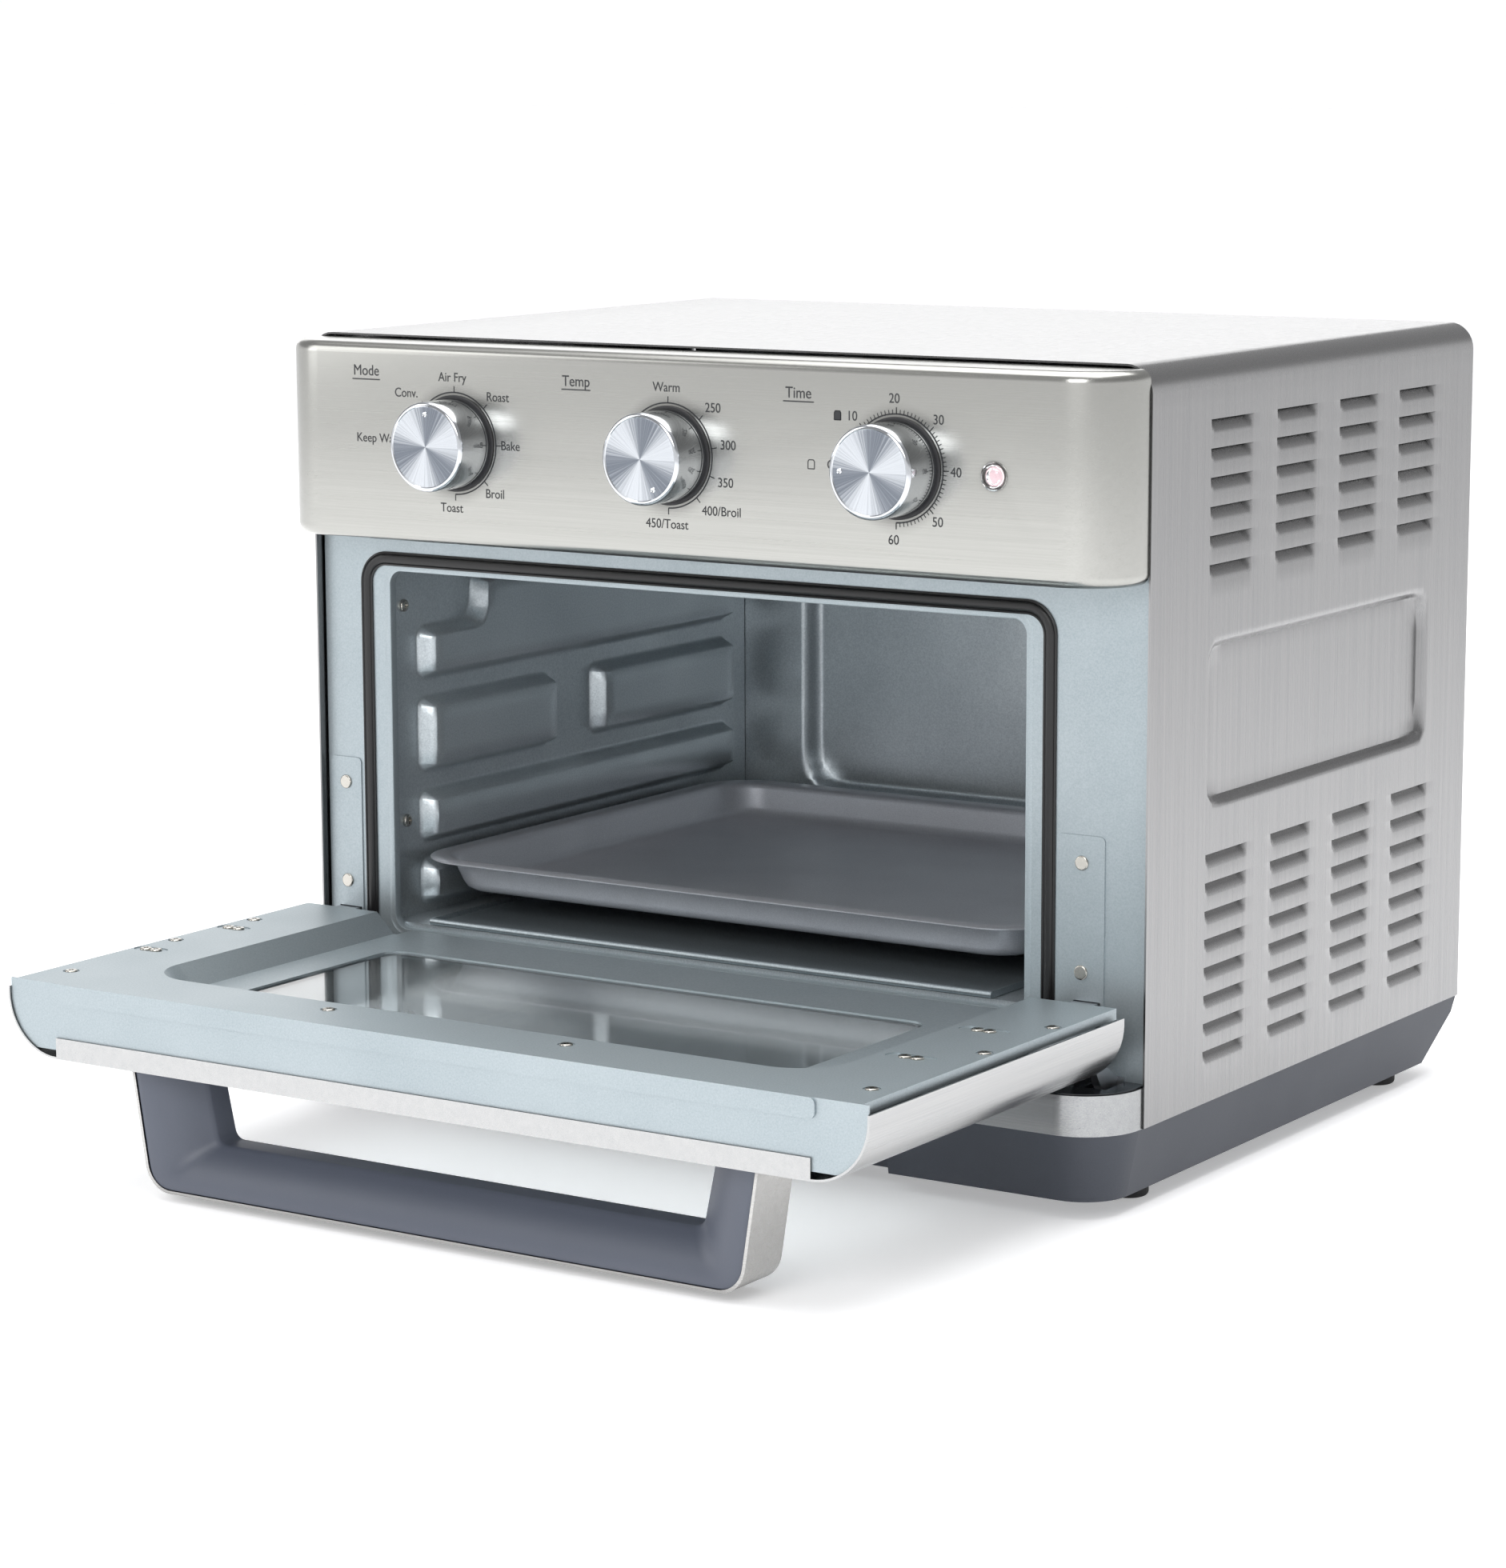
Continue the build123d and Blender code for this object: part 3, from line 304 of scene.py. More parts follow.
@dataclass(frozen=True)
class BrushedStainless:
    """Stainless steel sheet brushed with a belt: long fine lines that blur reflections across them.

    The lines are really about 0.1 mm wide. They are drawn at line_mm, as coarse as they need to show.
    """

    name: str
    light: str
    dark: str
    grain: Grain
    roughness: float = 0.3
    line_mm: float = 0.35
    run_mm: float = 90.0
    relief: float = 0.015
    # reach of the painted shade in recesses, on for every brushed finish
    painted_shade_mm: float = 9.0

    def build(self) -> bpy.types.Material:
        """Makes the material: streaked colour and roughness with a faint relief, and painted shade darkening
        the colour in recesses.

        Returns:
            The material.
        """
        material, tree, shader = new_material(self.name)
        place = add_node(tree, "ShaderNodeTexCoord")
        scale = [1 / (self.line_mm * MM)] * 3
        scale[self.grain.value] = 1 / (self.run_mm * MM)
        fine = add_node(tree, "ShaderNodeMapping", {"Scale": scale}, {"Vector": place.outputs["Object"]})
        lines = add_node(tree, "ShaderNodeTexNoise", {"Scale": 1.0, "Detail": 3.0, "Roughness": 0.6},
                         {"Vector": fine.outputs[0]})
        wide = add_node(tree, "ShaderNodeMapping", {"Scale": [s / 9 for s in scale]},
                        {"Vector": place.outputs["Object"]})
        bands = add_node(tree, "ShaderNodeTexNoise", {"Scale": 1.0, "Detail": 2.0},
                         {"Vector": wide.outputs[0]})
        surface = Surface(self.light, self.dark, 0.25, (0.3, 0.7), self.roughness + 0.05,
                          self.roughness - 0.05, self.relief, metallic=1.0, painted_shade_mm=self.painted_shade_mm)
        surface.lay(tree, shader, lines, bands)
        return material


@dataclass(frozen=True)
class SpeckledSheet:
    """Aluminised or coated steel sheet: satin metal with a fine cast speckle and faint clouding."""

    name: str
    light: str
    dark: str
    roughness: float = 0.4
    metallic: float = 0.85
    speck_mm: float = 0.8
    cloud_mm: float = 55.0
    relief: float = 0.12

    def build(self) -> bpy.types.Material:
        """Makes the material: specks and clouds in the colour, specks in roughness and relief.

        Returns:
            The material.
        """
        material, tree, shader = new_material(self.name)
        place = add_node(tree, "ShaderNodeTexCoord")
        specks = add_node(tree, "ShaderNodeTexNoise", {"Scale": 1 / (self.speck_mm * MM), "Detail": 2.0,
                                                       "Roughness": 0.7},
                          {"Vector": place.outputs["Object"]})
        clouds = add_node(tree, "ShaderNodeTexNoise", {"Scale": 1 / (self.cloud_mm * MM), "Detail": 2.0},
                          {"Vector": place.outputs["Object"]})
        surface = Surface(self.light, self.dark, 0.3, (0.32, 0.68), self.roughness + 0.06,
                          self.roughness - 0.04, self.relief, metallic=self.metallic)
        surface.lay(tree, shader, specks, clouds)
        return material


@dataclass(frozen=True)
class MouldedPart:
    """Moulded plastic, rubber or glazed ceramic: one tone with the fine texture of its mould."""

    name: str
    colour: str
    shade: str
    roughness: float
    texture_mm: float = 0.6
    relief: float = 0.15

    def build(self) -> bpy.types.Material:
        """Makes the material: a mould texture in relief and a little of it in colour and gloss.

        Returns:
            The material.
        """
        material, tree, shader = new_material(self.name)
        place = add_node(tree, "ShaderNodeTexCoord")
        texture = add_node(tree, "ShaderNodeTexNoise", {"Scale": 1 / (self.texture_mm * MM),
                                                        "Detail": 2.0},
                           {"Vector": place.outputs["Object"]})
        drift = add_node(tree, "ShaderNodeTexNoise", {"Scale": 22.0, "Detail": 3.0},
                         {"Vector": place.outputs["Object"]})
        surface = Surface(self.colour, self.shade, 0.5, (0.0, 1.0), self.roughness + 0.07,
                          self.roughness - 0.07, self.relief, relief_mm=0.2)
        surface.lay(tree, shader, texture, drift)
        return material


@dataclass(frozen=True)
class PlatedMetal:
    """Nickel, zinc or bare drawn metal: bright, with faint handling marks in its gloss."""

    name: str
    colour: str
    roughness: float
    mark_mm: float = 4.0

    def build(self) -> bpy.types.Material:
        """Makes the material: even colour with clouded roughness.

        Returns:
            The material.
        """
        material, tree, shader = new_material(self.name)
        place = add_node(tree, "ShaderNodeTexCoord")
        marks = add_node(tree, "ShaderNodeTexNoise", {"Scale": 1 / (self.mark_mm * MM), "Detail": 4.0},
                         {"Vector": place.outputs["Object"]})
        rough = add_node(tree, "ShaderNodeMapRange", {"To Min": self.roughness * 0.6,
                                                      "To Max": self.roughness * 1.4},
                         {"Value": marks.outputs[0]})
        shader.inputs["Base Color"].default_value = hex_linear(self.colour)
        shader.inputs["Metallic"].default_value = 1.0
        tree.links.new(rough.outputs[0], shader.inputs["Roughness"])
        return material


@dataclass(frozen=True)
class SunrayAluminium:
    """Turned aluminium with lines raying out from the centre, with painted highlights: light and dark wedges
    painted into the colour stand for the light that gathers in bright wedges.
    """

    name: str
    light: str
    dark: str
    # how many painted highlight wedges, light and dark, go round the face
    wedges: int = 3
    roughness: float = 0.26

    def build(self) -> bpy.types.Material:
        """Makes the material: painted highlight wedges by the angle around the knob's own axis, with fine rays
        of the turned grain.

        Returns:
            The material.
        """
        material, tree, shader = new_material(self.name)
        place = add_node(tree, "ShaderNodeTexCoord")
        parts = add_node(tree, "ShaderNodeSeparateXYZ", links={0: place.outputs["Object"]})
        angle = add_node(tree, "ShaderNodeMath", {"operation": "ARCTAN2"},
                         {0: parts.outputs["Z"], 1: parts.outputs["X"]})
        # painted highlight: a wave around the axis lights some wedges and darkens others, fixed to the knob
        turns = add_node(tree, "ShaderNodeMath", {"operation": "MULTIPLY_ADD", 1: float(self.wedges),
                                                  2: 0.7}, {0: angle.outputs[0]})
        painted_highlight_wave = add_node(tree, "ShaderNodeMath", {"operation": "SINE"}, {0: turns.outputs[0]})
        rays = add_node(tree, "ShaderNodeTexNoise", {"noise_dimensions": "1D", "Scale": 14.0,
                                                     "Detail": 5.0, "Roughness": 0.75},
                        {"W": angle.outputs[0]})
        blend = add_node(tree, "ShaderNodeMath", {"operation": "MULTIPLY_ADD", 1: 0.34},
                         {0: painted_highlight_wave.outputs[0], 2: rays.outputs[0]})
        tone = add_node(tree, "ShaderNodeMapRange", {"From Min": 0.1, "From Max": 0.9,
                                                     "interpolation_type": "SMOOTHSTEP"},
                        {"Value": blend.outputs[0]})
        colour = add_node(tree, "ShaderNodeMix", {"data_type": "RGBA", 6: hex_linear(self.dark),
                                                  7: hex_linear(self.light)},
                          {0: tone.outputs[0]})
        shader.inputs["Metallic"].default_value = 1.0
        shader.inputs["Roughness"].default_value = self.roughness
        tree.links.new(colour.outputs[2], shader.inputs["Base Color"])
        return material


@dataclass(frozen=True)
class ClearPart:
    """Tempered glass or clear acrylic: see-through with a tint and a clean gloss."""

    name: str
    tint: str
    roughness: float = 0.02
    ior: float = 1.5

    def build(self) -> bpy.types.Material:
        """Makes the material: full transmission with wiping marks in its gloss.

        Returns:
            The material.
        """
        material, tree, shader = new_material(self.name)
        place = add_node(tree, "ShaderNodeTexCoord")
        smears = add_node(tree, "ShaderNodeTexNoise", {"Scale": 30.0, "Detail": 3.0},
                          {"Vector": place.outputs["Object"]})
        rough = add_node(tree, "ShaderNodeMapRange", {"To Min": self.roughness,
                                                      "To Max": self.roughness + 0.05},
                         {"Value": smears.outputs[0]})
        shader.inputs["Base Color"].default_value = hex_linear(self.tint)
        shader.inputs["Transmission Weight"].default_value = 1.0
        shader.inputs["IOR"].default_value = self.ior
        tree.links.new(rough.outputs[0], shader.inputs["Roughness"])
        return material


class Palette:
    """Every finish of the oven, built once and looked up by a plain name."""

    def __init__(self) -> None:
        """Builds all finishes."""
        recipes = {
            # every brushed stainless finish below has painted shade darkening its colour in recesses within 9
            # mm
            # 0.9 mm stainless, belt-brushed top to bottom: the eye sees fine upright streaks in a soft grey
            "wrap": BrushedStainless("stainless_brushed_upright", "#9B9A9A", "#8E8F90", Grain.UPRIGHT, 0.26),
            # finer brushing along the panel's length, a little warmer and calmer
            "fascia": BrushedStainless("stainless_brushed_across", "#AEAEAA", "#A7A7A3", Grain.ACROSS, 0.24),
            # bent strips of the same sheet, brushed along their length, with brighter bends
            "trim": BrushedStainless("stainless_trim_across", "#A9AAAA", "#949698", Grain.ACROSS, 0.24),
            "door": BrushedStainless("stainless_door_skin", "#B9B9B8", "#A9AAAB", Grain.FRONT_TO_BACK, 0.24),
            "band": BrushedStainless("stainless_handle_band", "#BEBDBB", "#AFAEAC", Grain.ACROSS, 0.28),
            # hot-dip aluminised steel: a pale blue-grey satin with fine specks and faint clouds
            "frame": SpeckledSheet("steel_aluminised_pale", "#ACB5B9", "#9BA6AB", 0.42, 0.7),
            "cavity": SpeckledSheet("steel_aluminised_cavity", "#D2D9DC", "#B3BBC0", 0.34, 0.75, 0.9),
            # a sprayed silver release coat: even, softly shining, with a metallic speck
            "pan": SpeckledSheet("steel_nonstick_silver", "#CCCDD2", "#B6B7BD", 0.34, 0.6, 0.6),
            # plainer sheets that are seldom seen: clouded grey
            "tray": SpeckledSheet("steel_aluminised_tray", "#B9C2C6", "#9AA4A9", 0.4),
            "rear": SpeckledSheet("steel_galvanised_rear", "#A9AEB2", "#8E9499", 0.45),
            # extruded silicone: near black with a soft sheen
            "gasket": MouldedPart("silicone_moulded_black", "#0F0F11", "#080809", 0.38, 1.4, 0.25),
            # injection-moulded plastics: slate grip, darker base, glossy cap, each with its mould's texture
            "handle": MouldedPart("abs_moulded_slate", "#565B67", "#4B505C", 0.42, 0.5, 0.06),
            "base": MouldedPart("abs_moulded_base", "#3D424C", "#32363F", 0.5, 0.6, 0.18),
            "cap": MouldedPart("abs_polished_dark", "#2B2E33", "#202226", 0.16, 3.0, 0.02),
            "inner": MouldedPart("polyamide_moulded_black", "#2A2A2C", "#1E1E20", 0.5),
            "rubber": MouldedPart("rubber_moulded_black", "#1B1B1D", "#111112", 0.7, 0.8, 0.3),
            # glazed bushes, printed ink and the lamp's sleeve: small accents of cream, black and rose
            "ceramic": MouldedPart("steatite_glazed", "#E4DFD4", "#CFC9BC", 0.25),
            "ink": MouldedPart("ink_screen_printed", "#25272A", "#1E2023", 0.55, 0.3, 0.0),
            "neon": MouldedPart("neon_lamp_sleeve", "#E3CFD4", "#CBB3BA", 0.3),
            # plated, polished and drawn metals: small bright points with handling marks in their gloss
            "screw": PlatedMetal("steel_nickel_plated", "#B9B6AF", 0.22),
            "hinge": PlatedMetal("steel_zinc_plated", "#B9BCC0", 0.34),
            "polished": PlatedMetal("aluminium_polished", "#C8CBCF", 0.09, 12.0),
            "element": PlatedMetal("incoloy_oxidised", "#5B5754", 0.42),
            "copper": PlatedMetal("copper_drawn", "#C68A63", 0.3),
            # the knob's turned face: painted highlight wedges, light and dark, that meet in the middle, over
            # fine turned rays
            "spun": SunrayAluminium("aluminium_sunray_painted_highlight", "#CFD3D8", "#757B84"),
            # clear parts, faintly smeared
            "glass": ClearPart("glass_tempered_clear", "#E6EEF0"),
            "lens": ClearPart("acrylic_moulded_lens", "#FBF3F4", 0.05, 1.49),
        }
        self.finishes = {key: recipe.build() for key, recipe in recipes.items()}

    def __getitem__(self, key: str) -> bpy.types.Material:
        """The finish of a name.

        Args:
            key: the plain name.

        Returns:
            Its material.
        """
        return self.finishes[key]


# --- mesh making ----------------------------------------------------------------------------------
class Shape:
    """Points and faces of one piece, gathered in casing millimetres."""

    def __init__(self) -> None:
        """Starts empty."""
        self.points: list[Vector] = []
        self.faces: list[tuple[int, ...]] = []

    def grid(self, rows: Sequence[Sequence[Point]], wrap: bool = False,
             keep: Callable[[int, int], bool] | None = None) -> "Shape":
        """Adds a sheet of quads through rows of points.

        Args:
            rows: rows of equally many points.
            wrap: joins each row's last point to its first.
            keep: tells from a cell's row and column whether it is wanted.

        Returns:
            The shape itself.
        """
        start = len(self.points)
        width = len(rows[0])
        for row in rows:
            self.points += [Vector(p) for p in row]
        for r in range(len(rows) - 1):
            for c in range(width if wrap else width - 1):
                if keep is not None and not keep(r, c):
                    continue
                d = (c + 1) % width
                a = start + r * width
                self.faces.append((a + c, a + d, a + width + d, a + width + c))
        return self

    def cap(self, ring: Sequence[Point]) -> "Shape":
        """Adds one flat face.

        Args:
            ring: its corners in order.

        Returns:
            The shape itself.
        """
        start = len(self.points)
        self.points += [Vector(p) for p in ring]
        self.faces.append(tuple(range(start, start + len(ring))))
        return self

    def lathe(self, profile: Sequence[Flat], x: float, z: float, steps: int = 72) -> "Shape":
        """Turns a profile about a line along y.

        Args:
            profile: (radius, y) points, from front centre to rear.
            x: the axis's x.
            z: the axis's z.
            steps: number of facets around.

        Returns:
            The shape itself.
        """
        turns = [2 * math.pi * i / steps for i in range(steps)]
        rows = [[(x + r * math.sin(t), y, z + r * math.cos(t)) for t in turns] for r, y in profile]
        return self.grid(rows, wrap=True)

    def object(self, name: str, origin: Point = (0, 0, 0)) -> bpy.types.Object:
        """A mesh object of the shape in row-frame metres.

        Args:
            name: the piece's name.
            origin: the object's own origin in casing millimetres.

        Returns:
            The new object, linked to the scene.
        """
        mesh = bpy.data.meshes.new(name)
        base = DATUM.at(*origin) if any(origin) else Vector((0, 0, 0))
        mesh.from_pydata([DATUM.at(*p) - base for p in self.points], [], self.faces)
        mesh.validate()
        piece = bpy.data.objects.new(name, mesh)
        piece.location = base
        bpy.context.scene.collection.objects.link(piece)
        return piece


class Fitter:
    """Finishes pieces: thickness, cuts, soft edges, material and body."""

    def __init__(self, palette: Palette) -> None:
        """Keeps the palette."""
        self.palette = palette

    def apply(self, piece: bpy.types.Object) -> None:
        """Turns modifiers into mesh.

        Args:
            piece: the object that carries them.
        """
        depsgraph = bpy.context.evaluated_depsgraph_get()
        made = bpy.data.meshes.new_from_object(piece.evaluated_get(depsgraph))
        piece.modifiers.clear()
        piece.data = made

    def weld(self, piece: bpy.types.Object) -> None:
        """Joins points that lie together, so that shading runs across them.

        Args:
            piece: the object to weld.
        """
        weld = piece.modifiers.new("weld", "WELD")
        weld.merge_threshold = WELD_REACH
        self.apply(piece)

    def thicken(self, piece: bpy.types.Object, thickness: float, inwards: float = -1.0) -> None:
        """Gives a sheet its thickness.

        Args:
            piece: the sheet.
            thickness: in millimetres.
            inwards: -1 grows against the faces' normals, 1 along them.
        """
        solid = piece.modifiers.new("thickness", "SOLIDIFY")
        solid.thickness = thickness * MM
        solid.offset = inwards
        self.apply(piece)

    def cut(self, piece: bpy.types.Object, cutters: Sequence[Shape]) -> None:
        """Takes closed shapes out of a piece.

        Args:
            piece: the object to cut.
            cutters: the shapes to take out.
        """
        for index, cutter in enumerate(cutters):
            tool = cutter.object(f"cutter_{index}")
            self.weld(tool)
            hole = piece.modifiers.new("hole", "BOOLEAN")
            hole.object = tool
            hole.solver = "EXACT"
            self.apply(piece)
            bpy.data.objects.remove(tool)

    def soften(self, piece: bpy.types.Object, width: float, segments: int = 2) -> None:
        """Rounds a piece's sharp edges by a bevel that stays a modifier.

        Args:
            piece: the piece or CAD node.
            width: bevel width in millimetres.
            segments: facets across the bevel.
        """
        bevel = piece.modifiers.new("soft_edges", "BEVEL")
        bevel.width = width * MM
        bevel.segments = segments
        bevel.limit_method = "ANGLE"
        bevel.angle_limit = SHARP_ANGLE
        bevel.harden_normals = False

    def place(self, piece: bpy.types.Object, finish: str, body: str, slot: str,
              replaced: Sequence[str] = ()) -> bpy.types.Object:
        """Dresses a piece and lets it ride on its body.

        Args:
            piece: the finished mesh object.
            finish: the palette's name of its finish.
            body: the CAD body that carries it.
            slot: the record's material slot; not used.
            replaced: CAD nodes that it stands for.

        Returns:
            The piece.
        """
        piece.data.materials.clear()
        piece.data.materials.append(self.palette[finish])
        piece.data.shade_smooth()
        piece.data.set_sharp_from_angle(angle=SHARP_ANGLE)
        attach(piece, body)
        if replaced:
            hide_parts(*replaced)
        LOG.info("%s on %s, %d faces", piece.name, body, len(piece.data.polygons))
        return piece

    def dress(self, node: str, finish: str, soft: float = 0.0) -> None:
        """Gives a carried-over CAD node its finish and, where wanted, soft edges.

        Args:
            node: the node's name.
            finish: the palette's name of its finish.
            soft: bevel width in millimetres, or 0 for none.
        """
        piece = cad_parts[node]
        piece.data.materials.clear()
        piece.data.materials.append(self.palette[finish])
        if soft:
            self.soften(piece, soft)
        LOG.info("%s dressed as %s", node, finish)


# --- sub-assemblies -------------------------------------------------------------------------------
@dataclass
class Casing:
    """The folded steel casing with its pressed side panels and louvres."""

    fitter: Fitter
    bend: float = 12.0
    sheet: float = 0.9
    louvre_long: float = 42.0
    louvre_tall: float = 7.0
    louvre_deep: float = 3.0
    louvre_first: float = 54.5
    louvre_step: float = 64.5
    row_step: float = 12.9
    upper_top: float = 306.0
    lower_top: float = 111.0
    pocket: tuple[float, float, float, float] = (54.6, 286.3, 134.8, 211.6)
    pocket_deep: float = 4.0

    def columns(self) -> list[float]:
        """The louvres' front ends."""
        return [self.louvre_first + self.louvre_step * i for i in range(4)]

    def rows(self) -> list[float]:
        """The louvres' middle heights."""
        upper = [self.upper_top - self.row_step * i for i in range(6)]
        return upper + [self.lower_top - self.row_step * i for i in range(8)]

    def louvre_at(self, y: float, z: float) -> float:
        """How far a louvre is pressed in: deepest at its upper edge, easing out at its ends.

        Args:
            y: the place along the side.
            z: its height.

        Returns:
            The depth, 0 beside a louvre.
        """
        half = self.louvre_tall / 2
        for row in self.rows():
            for column in self.columns():
                if abs(z - row) < half - 0.01 and column < y < column + self.louvre_long:
                    end = min(y - column, column + self.louvre_long - y)
                    return self.louvre_deep * smoothstep(0, 4, end) * smoothstep(-half, half, z - row)
        return 0.0

    def pressed(self, y: float, z: float) -> float:
        """How far the side is pressed in, by its pocket and its louvres together.

        Args:
            y: the place along the side.
            z: its height.

        Returns:
            The depth.
        """
        edge = rounded_distance(y, z, self.pocket, 12.0)
        return self.pocket_deep * smoothstep(0, 4.6, -edge) + self.louvre_at(y, z)

    def build(self) -> None:
        """The casing: two pressed sides and the top in one sheet, open at every louvre's upper edge."""
        half_wide, tall, half = DATUM.width / 2, DATUM.height, self.louvre_tall / 2
        y0, y1, z0, z1 = self.pocket
        ends = (0, 0.7, 1.6, 3, 4.5, 6)
        stops = [c + d for c in self.columns() for e in ends for d in (e, self.louvre_long - e)]
        ys = graded(stops + ramp_lines((y0 + 2.3, y1 - 2.3), 4, 1.0), 0, DATUM.depth, 9)
        levels = [r + d for r in self.rows() for d in (-half, -2, 0, 2, half - 0.05, half)]
        zs = graded(levels + ramp_lines((z0 + 2.3, z1 - 2.3), 4, 1.0), 0, tall - self.bend, 9)
        arc = [math.radians(90 * i / 8) for i in range(1, 8)]
        left = [[(-half_wide + self.pressed(y, z), y, z) for y in ys] for z in zs]
        centre = (half_wide - self.bend, tall - self.bend)
        corner = [(centre[0] + self.bend * math.cos(a), centre[1] + self.bend * math.sin(a)) for a in arc]
        top = graded((), self.bend - half_wide, half_wide - self.bend, 60)
        rows = left + [[(-x, y, z) for y in ys] for x, z in corner]
        rows += [[(x, y, tall) for y in ys] for x in top]
        rows += [[(x, y, z) for y in ys] for x, z in reversed(corner)]
        rows += [[(-x, y, z) for x, y, z in row] for row in reversed(left)]
        slits = {round(r + half, 4) for r in self.rows()}

        def keep(row: int, column: int) -> bool:
            """Tells which cells of the sheet are wanted.

            Args:
                row: the cell's row.
                column: its column.

            Returns:
                False for the cells of a louvre's slit.
            """
            lower, upper = rows[row][column], rows[row + 1][column]
            y = (ys[column] + ys[column + 1]) / 2
            high = max(lower[2], upper[2])
            return abs(upper[2] - lower[2]) > 0.06 or not (
                round(high, 4) in slits and self.louvre_at(y, high - 0.06) > 0)

        wrap = Shape().grid(rows, keep=keep).object("casing_wrap")
        self.fitter.thicken(wrap, self.sheet)
        self.fitter.place(wrap, "wrap", "oven", "wrap_steel", ["outer_wrap"])


@dataclass
class Fascia:
    """The folded control panel with its print, the rings behind the knobs and the lamp's lens."""

    fitter: Fitter
    low: float = 241.5
    high: float = 335.0
    out: float = 31.0
    bend: float = 5.0
    corner: float = 28.0
    sheet: float = 1.1
    dial_z: float = DIAL_HEIGHT
    dials: tuple[float, float, float] = DIAL_PLACES
    shaft_hole: float = 5.5
    lamp: Flat = (170.5, 288.5)
    lamp_hole: float = 5.2
    arc_radius: float = 23.9
    tick_long: float = 2.9
    ink: float = 0.04
    words: tuple = (
        ("Mode", -172.9, 321.8, 4.9), ("Temp", -51.0, 321.1, 4.9), ("Time", 70.1, 320.6, 4.9),
        ("Air Fry", -122.0, 320.3, 4.2), ("Roast", -95.8, 312.0, 4.2), ("Bake", -88.8, 289.6, 4.2),
        ("Broil", -98.0, 266.8, 4.2), ("Toast", -123.3, 259.1, 4.2), ("Conv.", -149.2, 312.1, 4.2),
        ("Keep Warm", -165.0, 290.0, 4.2),
        ("Warm", -0.8, 320.4, 4.2), ("250", 24.4, 312.0, 4.2), ("300", 32.5, 295.5, 4.2),
        ("350", 31.1, 278.5, 4.2), ("400/Broil", 28.9, 265.4, 4.2), ("450/Toast", -0.9, 258.3, 4.2),
        ("Off", -31.5, 289.6, 4.2), ("10", 98.1, 311.5, 4.2), ("20", 119.9, 320.1, 4.2),
        ("30", 142.4, 311.6, 4.2), ("40", 151.4, 289.1, 4.2), ("50", 142.2, 266.9, 4.2),
        ("60", 119.7, 257.9, 4.2), ("Off", 88.8, 289.4, 4.2))
    print_lift: float = 0.06
    underlines: tuple = ((-181.2, -164.8, 317.8), (-59.2, -43.0, 317.4), (62.0, 78.2, 316.9))

    def plan(self, inset: float) -> list[Flat]:
        """The panel's outline seen from above, from its left rear to its right rear.

        Args:
            inset: how far inside the outer outline.

        Returns:
            Points as (x, y).
        """
        half, radius = DATUM.width / 2 - inset, self.corner - inset
        centre = (DATUM.width / 2 - self.corner, self.corner - self.out)
        arc = [math.radians(90 * i / 14) for i in range(15)]
        right = [(centre[0] + radius * math.sin(a), centre[1] - radius * math.cos(a)) for a in arc]
        return [(-half, 0.0)] + [(-x, y) for x, y in reversed(right)] + right + [(half, 0.0)]

    def build(self) -> None:
        """The panel and all that stands on it."""
        self.build_panel()
        self.build_marks()
        self.build_words()
        self.build_rings()
        self.build_lens()

    def build_panel(self) -> None:
        """The panel: round ends, small bends along top and bottom, and holes for shafts and lamp."""
        arc = [math.radians(90 * i / 6) for i in range(7)]
        profile = [(self.bend * (1 - math.sin(a)), self.low + self.bend * (1 - math.cos(a))) for a in arc]
        profile += [(i, self.high + self.low - z) for i, z in reversed(profile)]
        rows = [[(x, y, z) for x, y in self.plan(i)] for i, z in profile]
        back = [[(x, 0.0, z) for x, y, z in rows[end]] for end in (0, -1)]
        panel = Shape().grid([back[0]] + rows + [back[1]]).object("control_panel_sheet")
        self.fitter.weld(panel)
        self.fitter.thicken(panel, self.sheet)
        holes = [self.plug(x, self.dial_z, self.shaft_hole) for x in self.dials]
        holes.append(self.plug(*self.lamp, self.lamp_hole))
        self.fitter.cut(panel, holes)
        self.fitter.place(panel, "fascia", "oven", "fascia_steel", ["control_panel"])

    def plug(self, x: float, z: float, radius: float) -> Shape:
        """A closed cylinder through the panel's face.

        Args:
            x: its axis's x.
            z: its axis's z.
            radius: its radius.

        Returns:
            The cylinder.
        """
        return Shape().lathe([(AXIS, -40), (radius, -40), (radius, -22), (AXIS, -22)], x, z, 48)

    def line(self, shape: Shape, start: Flat, end: Flat, width: float) -> None:
        """Adds a straight printed line.

        Args:
            shape: what it is added to.
            start: one end as (x, z).
            end: the other end.
            width: its width.
        """
        along = Vector((end[0] - start[0], end[1] - start[1]))
        side = Vector((-along.y, along.x)).normalized() * width / 2
        front = -self.out - self.print_lift
        ring = [(start[0] + side.x, front, start[1] + side.y), (end[0] + side.x, front, end[1] + side.y),
                (end[0] - side.x, front, end[1] - side.y), (start[0] - side.x, front, start[1] - side.y)]
        shape.cap(ring)

    def tick(self, shape: Shape, dial: int, angle: float, length: float, width: float = 0.42) -> None:
        """Adds a tick beside a dial.

        Args:
            shape: what it is added to.
            dial: the dial's index.
            angle: in degrees clockwise from the top.
            length: how far it reaches out from the arc.
            width: its width.
        """
        turn, x, inner = math.radians(angle), self.dials[dial], self.arc_radius
        reach = inner + length
        start = (x + inner * math.sin(turn), self.dial_z + inner * math.cos(turn))
        end = (x + reach * math.sin(turn), self.dial_z + reach * math.cos(turn))
        self.line(shape, start, end, width)

    def arc(self, shape: Shape, dial: int, start: int, end: int) -> None:
        """Adds the printed arc that a dial's ticks stand on.

        Args:
            shape: what it is added to.
            dial: the dial's index.
            start: its first angle in degrees clockwise from the top.
            end: its last angle.
        """
        for angle in range(start, end, 3):
            ends = [math.radians(a) for a in (angle, min(end, angle + 3.2))]
            points = [(self.dials[dial] + self.arc_radius * math.sin(t),
                       self.dial_z + self.arc_radius * math.cos(t)) for t in ends]
            self.line(shape, *points, 0.6)

